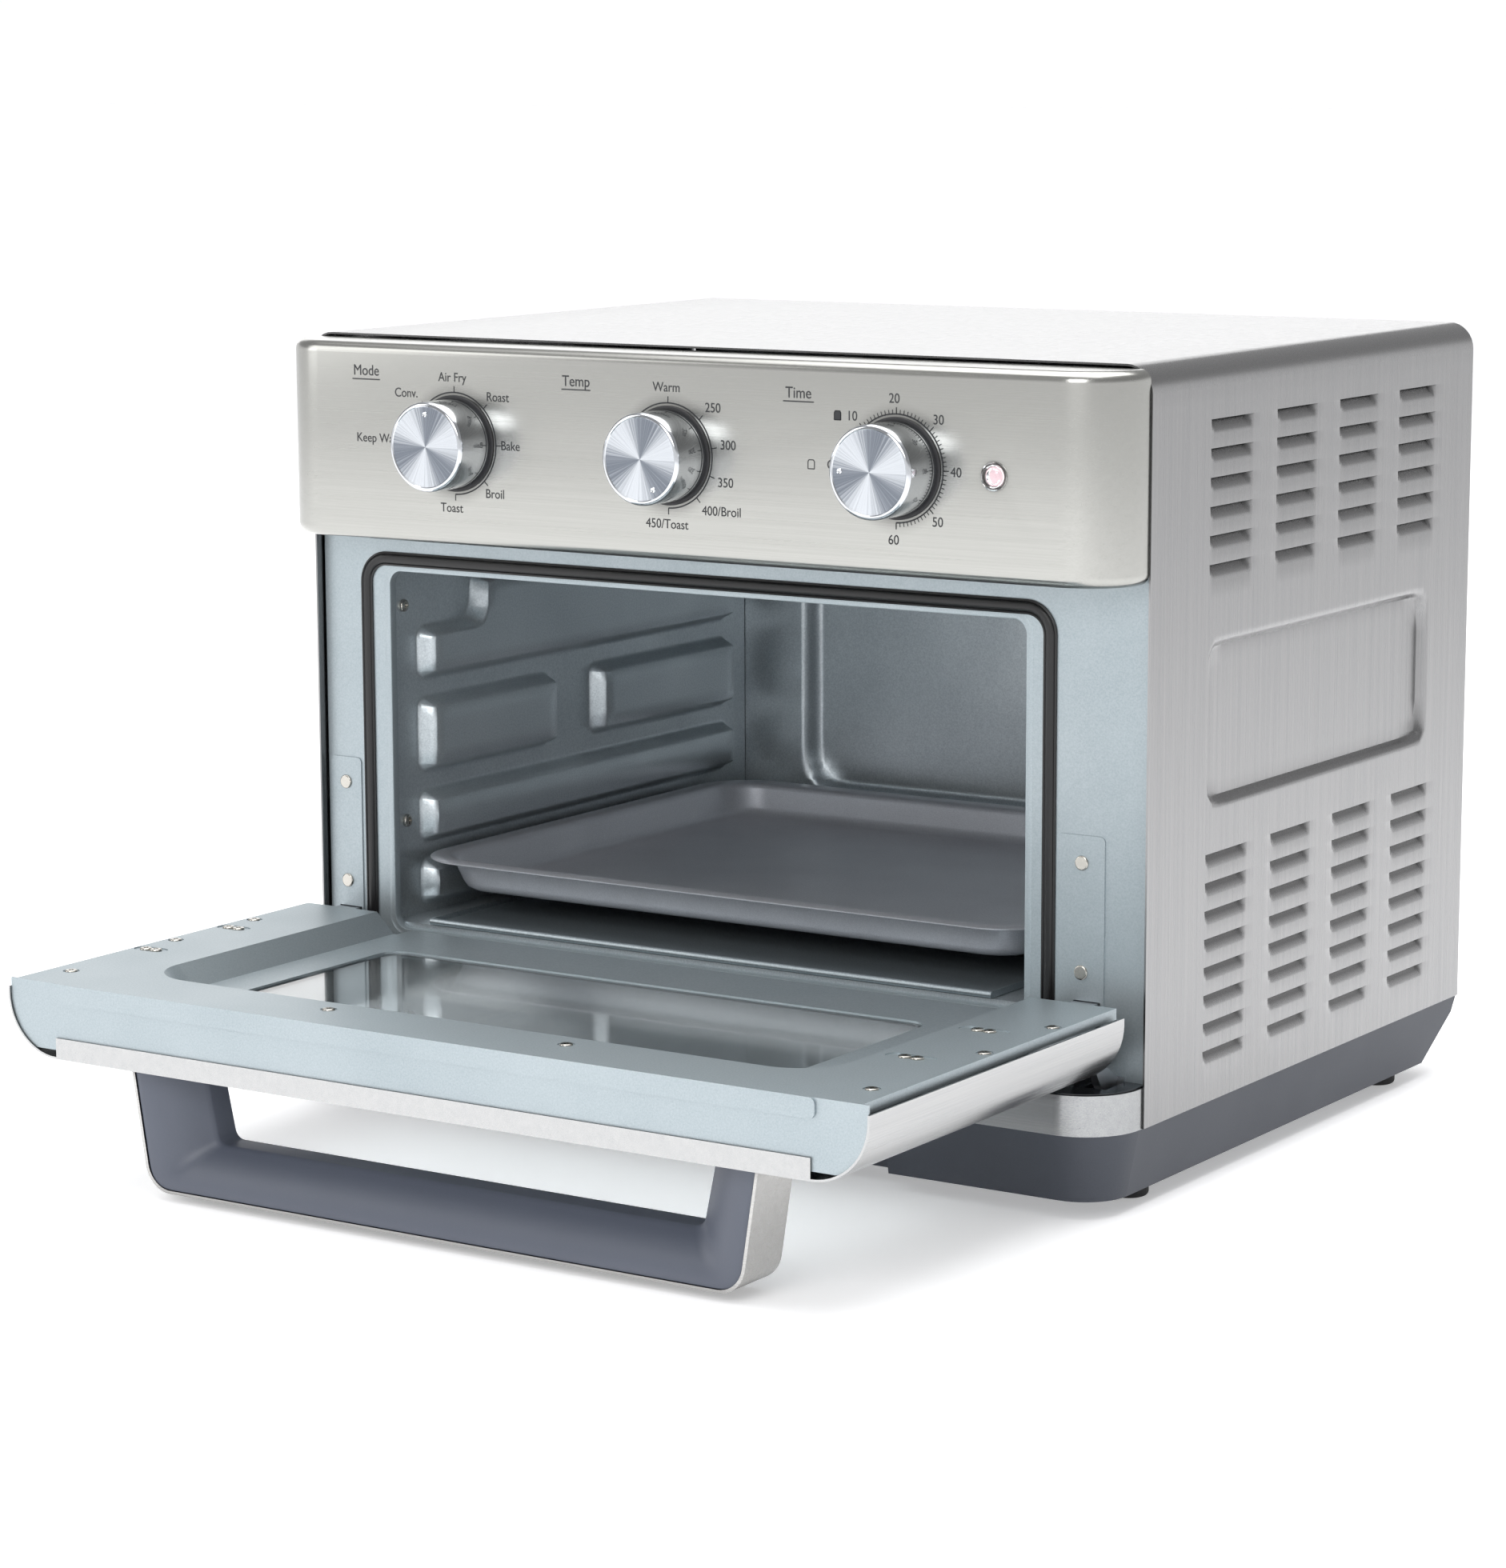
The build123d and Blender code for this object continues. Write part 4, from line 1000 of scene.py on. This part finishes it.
    def build_marks(self) -> None:
        """Underlines, arcs, ticks and the two small bread signs, in one printed piece."""
        marks = Shape()
        for x0, x1, z in self.underlines:
            self.line(marks, (x0, z), (x1, z), 0.5)
        for dial in range(3):
            self.arc(marks, dial, -90, 180)
        for angle in range(-90, 181, 45):
            self.tick(marks, 0, angle, self.tick_long)
            self.tick(marks, 2, angle, self.tick_long)
        for angle in (-90, 0, 45, 80, 110, 140, 180):
            self.tick(marks, 1, angle, self.tick_long)
        for minute in range(61):
            self.tick(marks, 2, -90 + 4.5 * minute, 1.9, 0.3)
        for x, z, filled in ((90.6, 311.6, True), (76.8, 289.3, False)):
            corners = [(x - 1.7, z - 2), (x + 1.7, z - 2), (x + 1.7, z + 1.2), (x + 1.2, z + 2),
                       (x - 1.2, z + 2), (x - 1.7, z + 1.2)]
            if filled:
                marks.cap([(a, -self.out - self.print_lift, b) for a, b in corners])
            for start, end in zip(corners, corners[1:] + corners[:1]):
                self.line(marks, start, end, 0.4)
        piece = marks.object("print_marks")
        self.fitter.thicken(piece, self.ink, 0)
        self.fitter.place(piece, "ink", "oven", "fascia_steel")

    def build_words(self) -> None:
        """Every printed word as a thin mesh on the panel's face."""
        for index, (text, x, z, cap) in enumerate(self.words):
            curve = bpy.data.curves.new(f"word_{index}", "FONT")
            curve.body, curve.align_x, curve.align_y = text, "CENTER", "CENTER"
            curve.size, curve.extrude = cap * MM / 0.69, 0.02 * MM
            writer = bpy.data.objects.new(curve.name, curve)
            bpy.context.scene.collection.objects.link(writer)
            bpy.context.view_layer.update()
            depsgraph = bpy.context.evaluated_depsgraph_get()
            mesh = bpy.data.meshes.new_from_object(writer.evaluated_get(depsgraph))
            bpy.data.objects.remove(writer)
            turn = Matrix.Rotation(math.radians(90), 4, "X") @ Matrix.Diagonal((0.94, 1, 1, 1))
            mesh.transform(Matrix.Translation(DATUM.at(x, -self.out - 0.05, z)) @ turn)
            piece = bpy.data.objects.new(f"print_word_{index:02d}", mesh)
            bpy.context.scene.collection.objects.link(piece)
            self.fitter.place(piece, "ink", "oven", "fascia_steel")

    def build_rings(self) -> None:
        """The dark stepped ring behind each knob, with a bright step inside it."""
        dark, bright = Shape(), Shape()
        y = -self.out
        for x in self.dials:
            dark.lathe([(5.6, y - 0.02), (5.6, y - 0.5), (21.4, y - 0.5), (21.5, y - 0.8), (22.3, y - 0.8),
                        (22.6, y - 0.5), (22.6, y - 0.02)], x, self.dial_z, 96)
            bright.lathe([(19.6, y - 0.5), (19.7, y - 0.95), (20.6, y - 0.95), (20.7, y - 0.5)], x,
                         self.dial_z, 96)
        self.fitter.place(dark.object("dial_rings_dark"), "inner", "oven", "ring_plastic", ["dial_rings"])
        self.fitter.place(bright.object("dial_rings_bright"), "polished", "oven", "ring_plastic")

    def build_lens(self) -> None:
        """The lamp's domed lens with its ribs, over a pale sleeve."""
        y = -self.out
        ribs = [(6.4, y - 0.05), (6.3, y - 0.7), (5.7, y - 1.1), (5.0, y - 1.0), (4.6, y - 0.5),
                (3.6, y - 0.6), (3.2, y - 1.4), (2.2, y - 1.8), (0.9, y - 2.0), (AXIS, y - 2.05)]
        lens = Shape().lathe(ribs + [(AXIS, y - 0.05)], *self.lamp, 64).object("lamp_lens")
        self.fitter.weld(lens)
        self.fitter.place(lens, "lens", "oven", "lens", ["indicator_lens"])
        ring = [(AXIS, y + 0.5), (2.7, y - 0.3), (4.4, y - 0.3), (4.4, y + 2), (AXIS, y + 2)]
        self.fitter.place(Shape().lathe(ring, *self.lamp, 48).object("lamp_sleeve"), "neon", "oven", "lens")


@dataclass
class Knob:
    """One metal-capped knob: a mirror drum with a turned face and a pointer dimple."""

    fitter: Fitter
    name: str
    body: str
    x: float
    angle: float
    z: float = DIAL_HEIGHT
    radius: float = 21.0
    dimple_out: float = 15.2
    front: float = -54.2
    back: float = -32.2

    def build(self) -> None:
        """The drum and its turned face, both about the knob's own axis."""
        r, y = self.radius, self.front
        drum = [(r - 2.3, y + 0.35), (r - 1.9, y), (r - 1.2, y + 0.12), (r - 0.4, y + 0.7), (r, y + 1.6),
                (r, self.back - 0.4), (r - 0.4, self.back), (r - 2.4, self.back), (r - 2.4, self.back - 12)]
        piece = Shape().lathe(drum, self.x, self.z, 128).object(f"{self.name}_drum", (self.x, 0, self.z))
        self.fitter.place(piece, "polished", self.body, "knob_metal", [self.name])
        rings = [(r - 2.3 - 0.62 * i, y + 0.35 + (0.03 if i % 2 else 0.0)) for i in range(30)]
        disc = Shape().lathe(rings + [(0.02, y + 0.35)], self.x, self.z, 128)
        face = disc.object(f"{self.name}_face", (self.x, 0, self.z))
        self.fitter.place(face, "spun", self.body, "knob_metal")
        turn = math.radians(self.angle)
        dot = Shape().lathe([(0.01, y + 0.3), (0.5, y + 0.27), (0.85, y + 0.17), (1.15, y + 0.05),
                             (1.35, y + 0.3)], self.x + self.dimple_out * math.sin(turn),
                            self.z + self.dimple_out * math.cos(turn), 32)
        mark = dot.object(f"{self.name}_dimple", (self.x, 0, self.z))
        self.fitter.place(mark, "polished", self.body, "knob_metal")


@dataclass
class Chamber:
    """The oven's inside: pressed left and rear walls, the lip of the opening and the door seal."""

    fitter: Fitter
    x0: float = -193.0
    x1: float = 171.0
    z0: float = 47.5
    z1: float = 232.0
    rear: float = 325.0
    sheet: float = 0.8
    guide_out: float = 8.5
    panel: tuple[float, float, float, float] = (-156.0, 134.0, 68.0, 216.0)
    panel_deep: float = 8.0
    panel_corner: float = 25.0
    pads: tuple = ((30, 306.5, 51.5, 75), (30, 306.5, 83, 109.7), (30, 142, 117.7, 156.4),
                   (176, 306.5, 117.7, 156.4), (30, 306.5, 164.4, 192), (74, 306.5, 186, 214))

    def guide(self, y: float, z: float) -> float:
        """How far the left wall stands into the cavity: rounded pads, the upper two flowing together.

        Args:
            y: the place along the wall.
            z: its height.

        Returns:
            The height of the pad there, 0 beside the pads.
        """
        edges = [rounded_distance(y, z, box, 7.0) for box in self.pads]
        near, far = sorted(edges[4:])
        blend = max(0.0, 14.0 - (far - near)) / 14.0
        edges[4:] = [near - blend * blend * 3.5]
        inside = -min(edges)
        return self.guide_out * smoothstep(0, 5.4, inside) if inside > 0 else 0.0

    def build(self) -> None:
        """The two pressed walls, the seal and the rolled edge."""
        self.build_left()
        self.build_rear()
        self.build_seal()
        self.build_lip()

    def build_left(self) -> None:
        """The left wall with its pan grooves."""
        ys = graded(ramp_lines([v for p in self.pads for v in p[:2]], 6, 0.9), 9.2, self.rear - 0.5, 8)
        zs = graded(ramp_lines([v for p in self.pads for v in p[2:]], 6, 0.9), self.z0, self.z1, 8)
        rows = [[(self.x0 + self.guide(y, z), y, z) for y in ys] for z in zs]
        lip = [[(self.x0 + 3.0 * t, 9.2, z) for t in (1, 0.5, 0)] for z in zs]
        wall = Shape().grid(rows).grid(lip).object("cavity_left_pressing")
        self.fitter.weld(wall)
        self.fitter.thicken(wall, self.sheet)
        self.fitter.place(wall, "cavity", "oven", "cavity_steel", ["cavity_left_wall"])

    def build_rear(self) -> None:
        """The rear wall with its rounded panel pressed back."""
        box, corner = self.panel, self.panel_corner
        xs = graded(ramp_lines((box[0] + 4, box[1] - 4), 6, 1.2) + [box[0] + corner, box[1] - corner], self.x0,
                    self.x1, 6)
        zs = graded(ramp_lines((box[2] + 4, box[3] - 4), 6, 1.2), self.z0, self.z1, 6)
        rows = [[(x, self.rear + self.panel_deep * smoothstep(0, 8.5, -rounded_distance(x, z, box, corner)),
                  z) for x in xs] for z in zs]
        wall = Shape().grid(rows).object("cavity_rear_pressing")
        self.fitter.thicken(wall, self.sheet)
        self.fitter.place(wall, "cavity", "oven", "cavity_steel", ["cavity_back_wall"])

    def loop(self, box: tuple[float, float, float, float], radius: float, closed: bool) -> list[tuple]:
        """A rounded path in the front plane with its outward directions.

        Args:
            box: x0, x1, z0 and z1 of the path.
            radius: its corner radius.
            closed: whether it runs along the bottom as well.

        Returns:
            (x, z, outward x, outward z) for each point.
        """
        x0, x1, z0, z1 = box
        corners = [(x1, z1, 0), (x0, z1, 90), (x0, z0, 180), (x1, z0, 270)]
        path = []
        for x, z, start in corners if closed else corners[:2]:
            cx = x + (radius if x == x0 else -radius)
            cz = z + (radius if z == z0 else -radius)
            for i in range(13):
                a = math.radians(start + 90 * i / 12)
                path.append((cx + radius * math.cos(a), cz + radius * math.sin(a), math.cos(a), math.sin(a)))
        if not closed:
            path = [(x1, z0, 1.0, 0.0)] + path + [(x0, z0, -1.0, 0.0)]
        return path

    def swept(self, path: Sequence[tuple], profile: Sequence[Flat], closed: bool) -> Shape:
        """Runs a profile along a path.

        Args:
            path: what loop() gives.
            profile: (outward, y) points.
            closed: whether the last place joins the first.

        Returns:
            The skin.
        """
        rows = [[(x + u * nx, y, z + u * nz) for u, y in profile] for x, z, nx, nz in path]
        rows = rows + rows[:1] if closed else rows
        return Shape().grid(rows, wrap=True)

    def build_seal(self) -> None:
        """The silicone seal: a round bulb with a rib on both sides."""
        profile = [(-3.4, 4.98), (-3.4, 4.3), (-2.6, 4.0), (-2.2, 4.35), (-1.8, 3.85), (-1.0, 3.6),
                   (0.0, 3.5), (1.0, 3.6), (1.8, 3.85), (2.2, 4.35), (2.6, 4.0), (3.4, 4.3), (3.4, 4.98)]
        path = self.loop((-202.9, 179.0, 45.5, 227.8), 12.0, False)
        seal = self.swept(path, profile, False).object("door_seal")
        self.fitter.place(seal, "gasket", "oven", "gasket_silicone", ["door_gasket"])

    def build_lip(self) -> None:
        """The rolled edge around the opening."""
        profile = [(3.4, 4.97), (2.6, 4.72), (1.2, 4.6), (0.2, 4.8), (-0.15, 5.5), (-0.15, 8.9), (0.3, 8.9)]
        path = self.loop((-188.8, 166.8, 45.0, 222.0), 7.0, True)
        lip = self.swept(path, profile, True).object("opening_rolled_edge")
        self.fitter.place(lip, "frame", "oven", "frame_steel")


@dataclass
class BakingPan:
    """The pressed baking pan with its wide rim and rounded walls."""

    fitter: Fitter
    middle: Flat = (-11.0, 157.0)
    half: Flat = (176.8, 145.0)
    rim_top: float = 79.0
    sheet: float = 0.7

    def ring(self, inset: float, z: float, radius: float) -> list[Point]:
        """A level rounded rectangle.

        Args:
            inset: how far inside the rim's outer edge.
            z: its height.
            radius: its corner radius.

        Returns:
            Its points.
        """
        hx, hy = self.half[0] - inset, self.half[1] - inset
        points = []
        for sx, sy, start in ((1, 1, 0), (-1, 1, 90), (-1, -1, 180), (1, -1, 270)):
            for i in range(11):
                a = math.radians(start + 9 * i)
                points.append((self.middle[0] + sx * (hx - radius) + radius * math.cos(a),
                               self.middle[1] + sy * (hy - radius) + radius * math.sin(a), z))
        return points

    def build(self) -> None:
        """The pan as one drawn sheet: turned-down edge, rim, bend, sloped wall, bend and floor."""
        z = self.rim_top
        profile = [(0.9, z - 1.1, 29), (0.2, z - 0.8, 29.8), (0.1, z - 0.35, 29.9), (0.6, z - 0.02, 29.4),
                   (9.0, z, 22), (10.3, z - 0.3, 21), (11.4, z - 1.4, 20.2), (12.0, z - 3.0, 20),
                   (15.2, z - 12.0, 19), (16.6, z - 14.6, 18.5), (18.8, z - 16.0, 17.5), (22, z - 16.2, 16),
                   (60, z - 16.0, 12)]
        rows = [self.ring(*step) for step in profile]
        shape = Shape().grid(rows, wrap=True)
        shape.cap(rows[-1])
        pan = shape.object("baking_pan_pressing")
        self.fitter.weld(pan)
        self.fitter.thicken(pan, self.sheet)
        self.fitter.place(pan, "pan", "pan", "pan_metal", ["baking_pan"])


@dataclass
class HandleGrip:
    """The moulded grip inside the handle's band, hollowed softly from its outer rim to the finger gap."""

    fitter: Fitter
    high: float = 19.2
    low: float = -34.1
    outer: Flat = (167.1, 158.6)
    gap: Flat = (138.0, 131.0)
    gap_low: float = -13.3
    front: float = -215.7
    waist: float = -200.0
    back: float = -188.3

    def turn(self, before: Flat, corner: Flat, after: Flat, radius: float, steps: int = 12) -> list[Flat]:
        """A round corner.

        Args:
            before: the point before the corner.
            corner: the sharp corner.
            after: the point after it.
            radius: how round it gets.
            steps: number of stretches along it.

        Returns:
            The points along the round.
        """
        here, back, ahead = Vector(corner), Vector(before), Vector(after)
        opening = (back - here).angle(ahead - here)
        reach = radius / math.tan(opening / 2)
        start = here + (back - here).normalized() * reach
        end = here + (ahead - here).normalized() * reach
        times = [i / steps for i in range(steps + 1)]
        return [tuple(start * (1 - t) ** 2 + here * 2 * t * (1 - t) + end * t * t) for t in times]

    def run(self, top: float, foot: float, low: float, radius: float) -> list[Flat]:
        """The U-shaped line down one leg, along the bar and up the other leg.

        Args:
            top: half the line's width at the top of the legs.
            foot: half its width at the bar.
            low: the bar's height.
            radius: how round the corners get.

        Returns:
            Points as (x, z).
        """
        left, right = (-foot, low), (foot, low)
        path = [(-top, self.high)] + self.turn((-top, self.high), left, right, radius)
        return path + self.turn(left, right, (top, self.high), radius) + [(top, self.high)]

    def build(self) -> None:
        """The grip as one closed skin along the U."""
        rim = self.run(*self.outer, self.low, 12.6)
        gap = self.run(*self.gap, self.gap_low, 6.0)
        depth = self.waist - self.front
        section = [(0.0, self.back), (0.0, self.front + 1.0), (0.015, self.front + 0.3), (0.05, self.front)]
        section += [(0.05 + 0.95 * t, self.front + depth * t * t) for t in [i / 14 for i in range(1, 14)]]
        section += [(0.985, self.waist - 0.8), (1.0, self.waist + 0.4), (1.0, self.back)]
        rows = [[(a + (c - a) * t, y, b + (d - b) * t) for t, y in section]
                for (a, b), (c, d) in zip(rim, gap)]
        shape = Shape().grid(rows, wrap=True)
        shape.cap(rows[0])
        shape.cap(list(reversed(rows[-1])))
        grip = shape.object("handle_grip_moulding")
        self.fitter.weld(grip)
        self.fitter.place(grip, "handle", "door", "handle_plastic", ["handle_grip"])


@dataclass
class CarriedParts:
    """The CAD nodes that are shown as they are, with their finish and softened edges."""

    fitter: Fitter
    finishes: tuple = (
        ("rear_panel", "rear", 0.3), ("base_moulding", "base", 0.8), ("bottom_plate", "rear", 0.0),
        ("rubber_feet", "rubber", 0.8), ("panel_backing", "inner", 0.0), ("bottom_trim", "trim", 0.4),
        ("trim_cap", "cap", 0.5), ("front_frame", "frame", 0.25), ("hinge_cover_plates", "frame", 0.2),
        ("hinge_rivets", "screw", 0.25), ("hinge_brackets", "hinge", 0.2),
        ("cavity_right_wall", "cavity", 0.3),
        ("cavity_roof", "cavity", 0.2), ("cavity_floor", "cavity", 0.2), ("cavity_screws", "screw", 0.2),
        ("upper_elements", "element", 0.0), ("lower_elements", "element", 0.0),
        ("element_holders", "ceramic", 0.3), ("convection_fan", "polished", 0.15),
        ("fan_motor", "hinge", 0.4),
        ("mode_switch", "inner", 0.4), ("thermostat", "inner", 0.4), ("timer", "hinge", 0.4),
        ("timer_bell", "polished", 0.2), ("mode_shaft", "hinge", 0.1), ("temperature_shaft", "hinge", 0.1),
        ("timer_shaft", "hinge", 0.1), ("indicator_lamp", "neon", 0.2), ("thermostat_bulb", "copper", 0.0),
        ("thermal_cutout", "ceramic", 0.2), ("terminal_block", "inner", 0.3), ("inlet_bush", "rubber", 0.3),
        ("rear_spacers", "base", 0.8), ("casing_screws", "screw", 0.2), ("door_outer_skin", "door", 0.3),
        ("door_inner_liner", "frame", 0.5), ("door_glass", "glass", 0.2), ("glass_clips", "hinge", 0.1),
        ("door_screws", "screw", 0.2), ("hinge_arms", "hinge", 0.2), ("handle_strip", "handle", 0.5),
        ("handle_band", "band", 0.3), ("handle_screws", "screw", 0.2),
        ("crumb_tray", "tray", 0.3))

    def build(self) -> None:
        """Dresses every carried-over node."""
        for node, finish, soft in self.finishes:
            self.fitter.dress(node, finish, soft)


# --- studio ---------------------------------------------------------------------------------------
@dataclass
class Studio:
    """A pale product studio: a plain floor, large soft lights and a long-lens camera."""

    fitter: Fitter
    camera_at: Point = (1.12612, -1.74113, 0.51217)
    pitch: float = 80.0
    yaw: float = 33.8
    roll: float = -0.29
    lens: float = 101.15
    shift: Flat = (0.0266, 0.0244)

    def build_floor(self) -> None:
        """A wide plain floor."""
        material, _, shader = new_material("studio_floor_paper")
        shader.inputs["Base Color"].default_value = hex_linear("#F7F7F8")
        shader.inputs["Roughness"].default_value = 0.9
        shader.inputs["Emission Color"].default_value = hex_linear("#FFFFFF")
        shader.inputs["Emission Strength"].default_value = 0.34
        mesh = bpy.data.meshes.new("studio_floor")
        size = 30.0
        mesh.from_pydata([(-size, -size, 0), (size, -size, 0), (size, size, 0), (-size, size, 0)], [],
                         [(0, 1, 2, 3)])
        floor = bpy.data.objects.new("studio_floor", mesh)
        mesh.materials.append(material)
        bpy.context.scene.collection.objects.link(floor)

    def build_world(self) -> None:
        """A white surround with a greyer band above eye level, and bright overhead."""
        world = bpy.data.worlds.new("studio_surround")
        world.use_nodes = True
        tree = world.node_tree
        tree.nodes.clear()
        place = add_node(tree, "ShaderNodeTexCoord")
        parts = add_node(tree, "ShaderNodeSeparateXYZ", links={0: place.outputs["Generated"]})
        fade = add_node(tree, "ShaderNodeMapRange", {"From Min": 0.08, "From Max": 0.3, "To Min": 1.02,
                                                     "To Max": 0.42, "interpolation_type": "SMOOTHSTEP"},
                        {"Value": parts.outputs["Z"]})
        lift = add_node(tree, "ShaderNodeMapRange", {"From Min": 0.7, "From Max": 0.95, "To Max": 1.0,
                                                     "interpolation_type": "SMOOTHSTEP"},
                        {"Value": parts.outputs["Z"]})
        total = add_node(tree, "ShaderNodeMath", {}, {0: fade.outputs[0], 1: lift.outputs[0]})
        glow = add_node(tree, "ShaderNodeBackground", {"Color": hex_linear("#FEFEFF")},
                        {"Strength": total.outputs[0]})
        add_node(tree, "ShaderNodeOutputWorld", links={"Surface": glow.outputs[0]})
        bpy.context.scene.world = world

    def add_light(self, name: str, place: Point, aim: Point, size: Flat, power: float) -> None:
        """Adds a soft box.

        Args:
            name: the light's name.
            place: where it stands, in metres.
            aim: what it faces.
            size: its width and height in metres.
            power: its power in watts.
        """
        data = bpy.data.lights.new(name, "AREA")
        data.shape, data.size, data.size_y, data.energy = "RECTANGLE", *size, power
        light = bpy.data.objects.new(name, data)
        light.location = place
        light.rotation_euler = (Vector(aim) - Vector(place)).to_track_quat("-Z", "Y").to_euler()
        bpy.context.scene.collection.objects.link(light)

    def build_lights(self) -> None:
        """Overhead, left, front and rear soft boxes."""
        middle = (0.0, 0.0, 0.2)
        self.add_light("softbox_overhead", (0.0, 0.2, 2.2), middle, (2.4, 2.4), 42)
        self.add_light("softbox_left", (-2.2, -1.6, 1.3), middle, (1.2, 1.8), 16)
        self.add_light("softbox_rear", (-2.3, 3.0, 1.35), (0.0, 0.0, 0.4), (2.8, 1.5), 13)
        self.add_light("softbox_front", (0.4, -2.8, 1.6), middle, (1.6, 1.2), 32)

    def build_camera(self) -> None:
        """A long lens from the front right, a little above the oven."""
        data = bpy.data.cameras.new("product_camera")
        data.sensor_fit, data.sensor_width, data.sensor_height = "AUTO", 36.0, 36.0
        data.lens, data.shift_x, data.shift_y = self.lens, *self.shift
        camera = bpy.data.objects.new("product_camera", data)
        turn = Matrix.Identity(4)
        for angle, axis in ((self.yaw, "Z"), (self.pitch, "X"), (self.roll, "Z")):
            turn = turn @ Matrix.Rotation(math.radians(angle), 4, axis)
        camera.matrix_world = Matrix.Translation(self.camera_at) @ turn
        scene = bpy.context.scene
        scene.collection.objects.link(camera)
        scene.camera = camera
        scene.render.resolution_x, scene.render.resolution_y = 1882, 1960
        scene.view_settings.view_transform = "Standard"

    def build(self) -> None:
        """Sets up the whole studio."""
        self.build_floor()
        self.build_world()
        self.build_lights()
        self.build_camera()


def main() -> None:
    """Builds the oven's sub-assemblies and the studio in order."""
    fitter = Fitter(Palette())
    settings = zip(("mode", "temperature", "timer"), DIAL_PLACES, (0.0, 152.0, -90.0))
    knobs = [Knob(fitter, f"{name}_knob", f"{name}_control", x, angle) for name, x, angle in settings]
    for assembly in (CarriedParts(fitter), Casing(fitter), Fascia(fitter), *knobs, Chamber(fitter),
                     BakingPan(fitter), HandleGrip(fitter), Studio(fitter)):
        LOG.info("building %s", type(assembly).__name__)
        assembly.build()


if __name__ == "__main__":
    main()
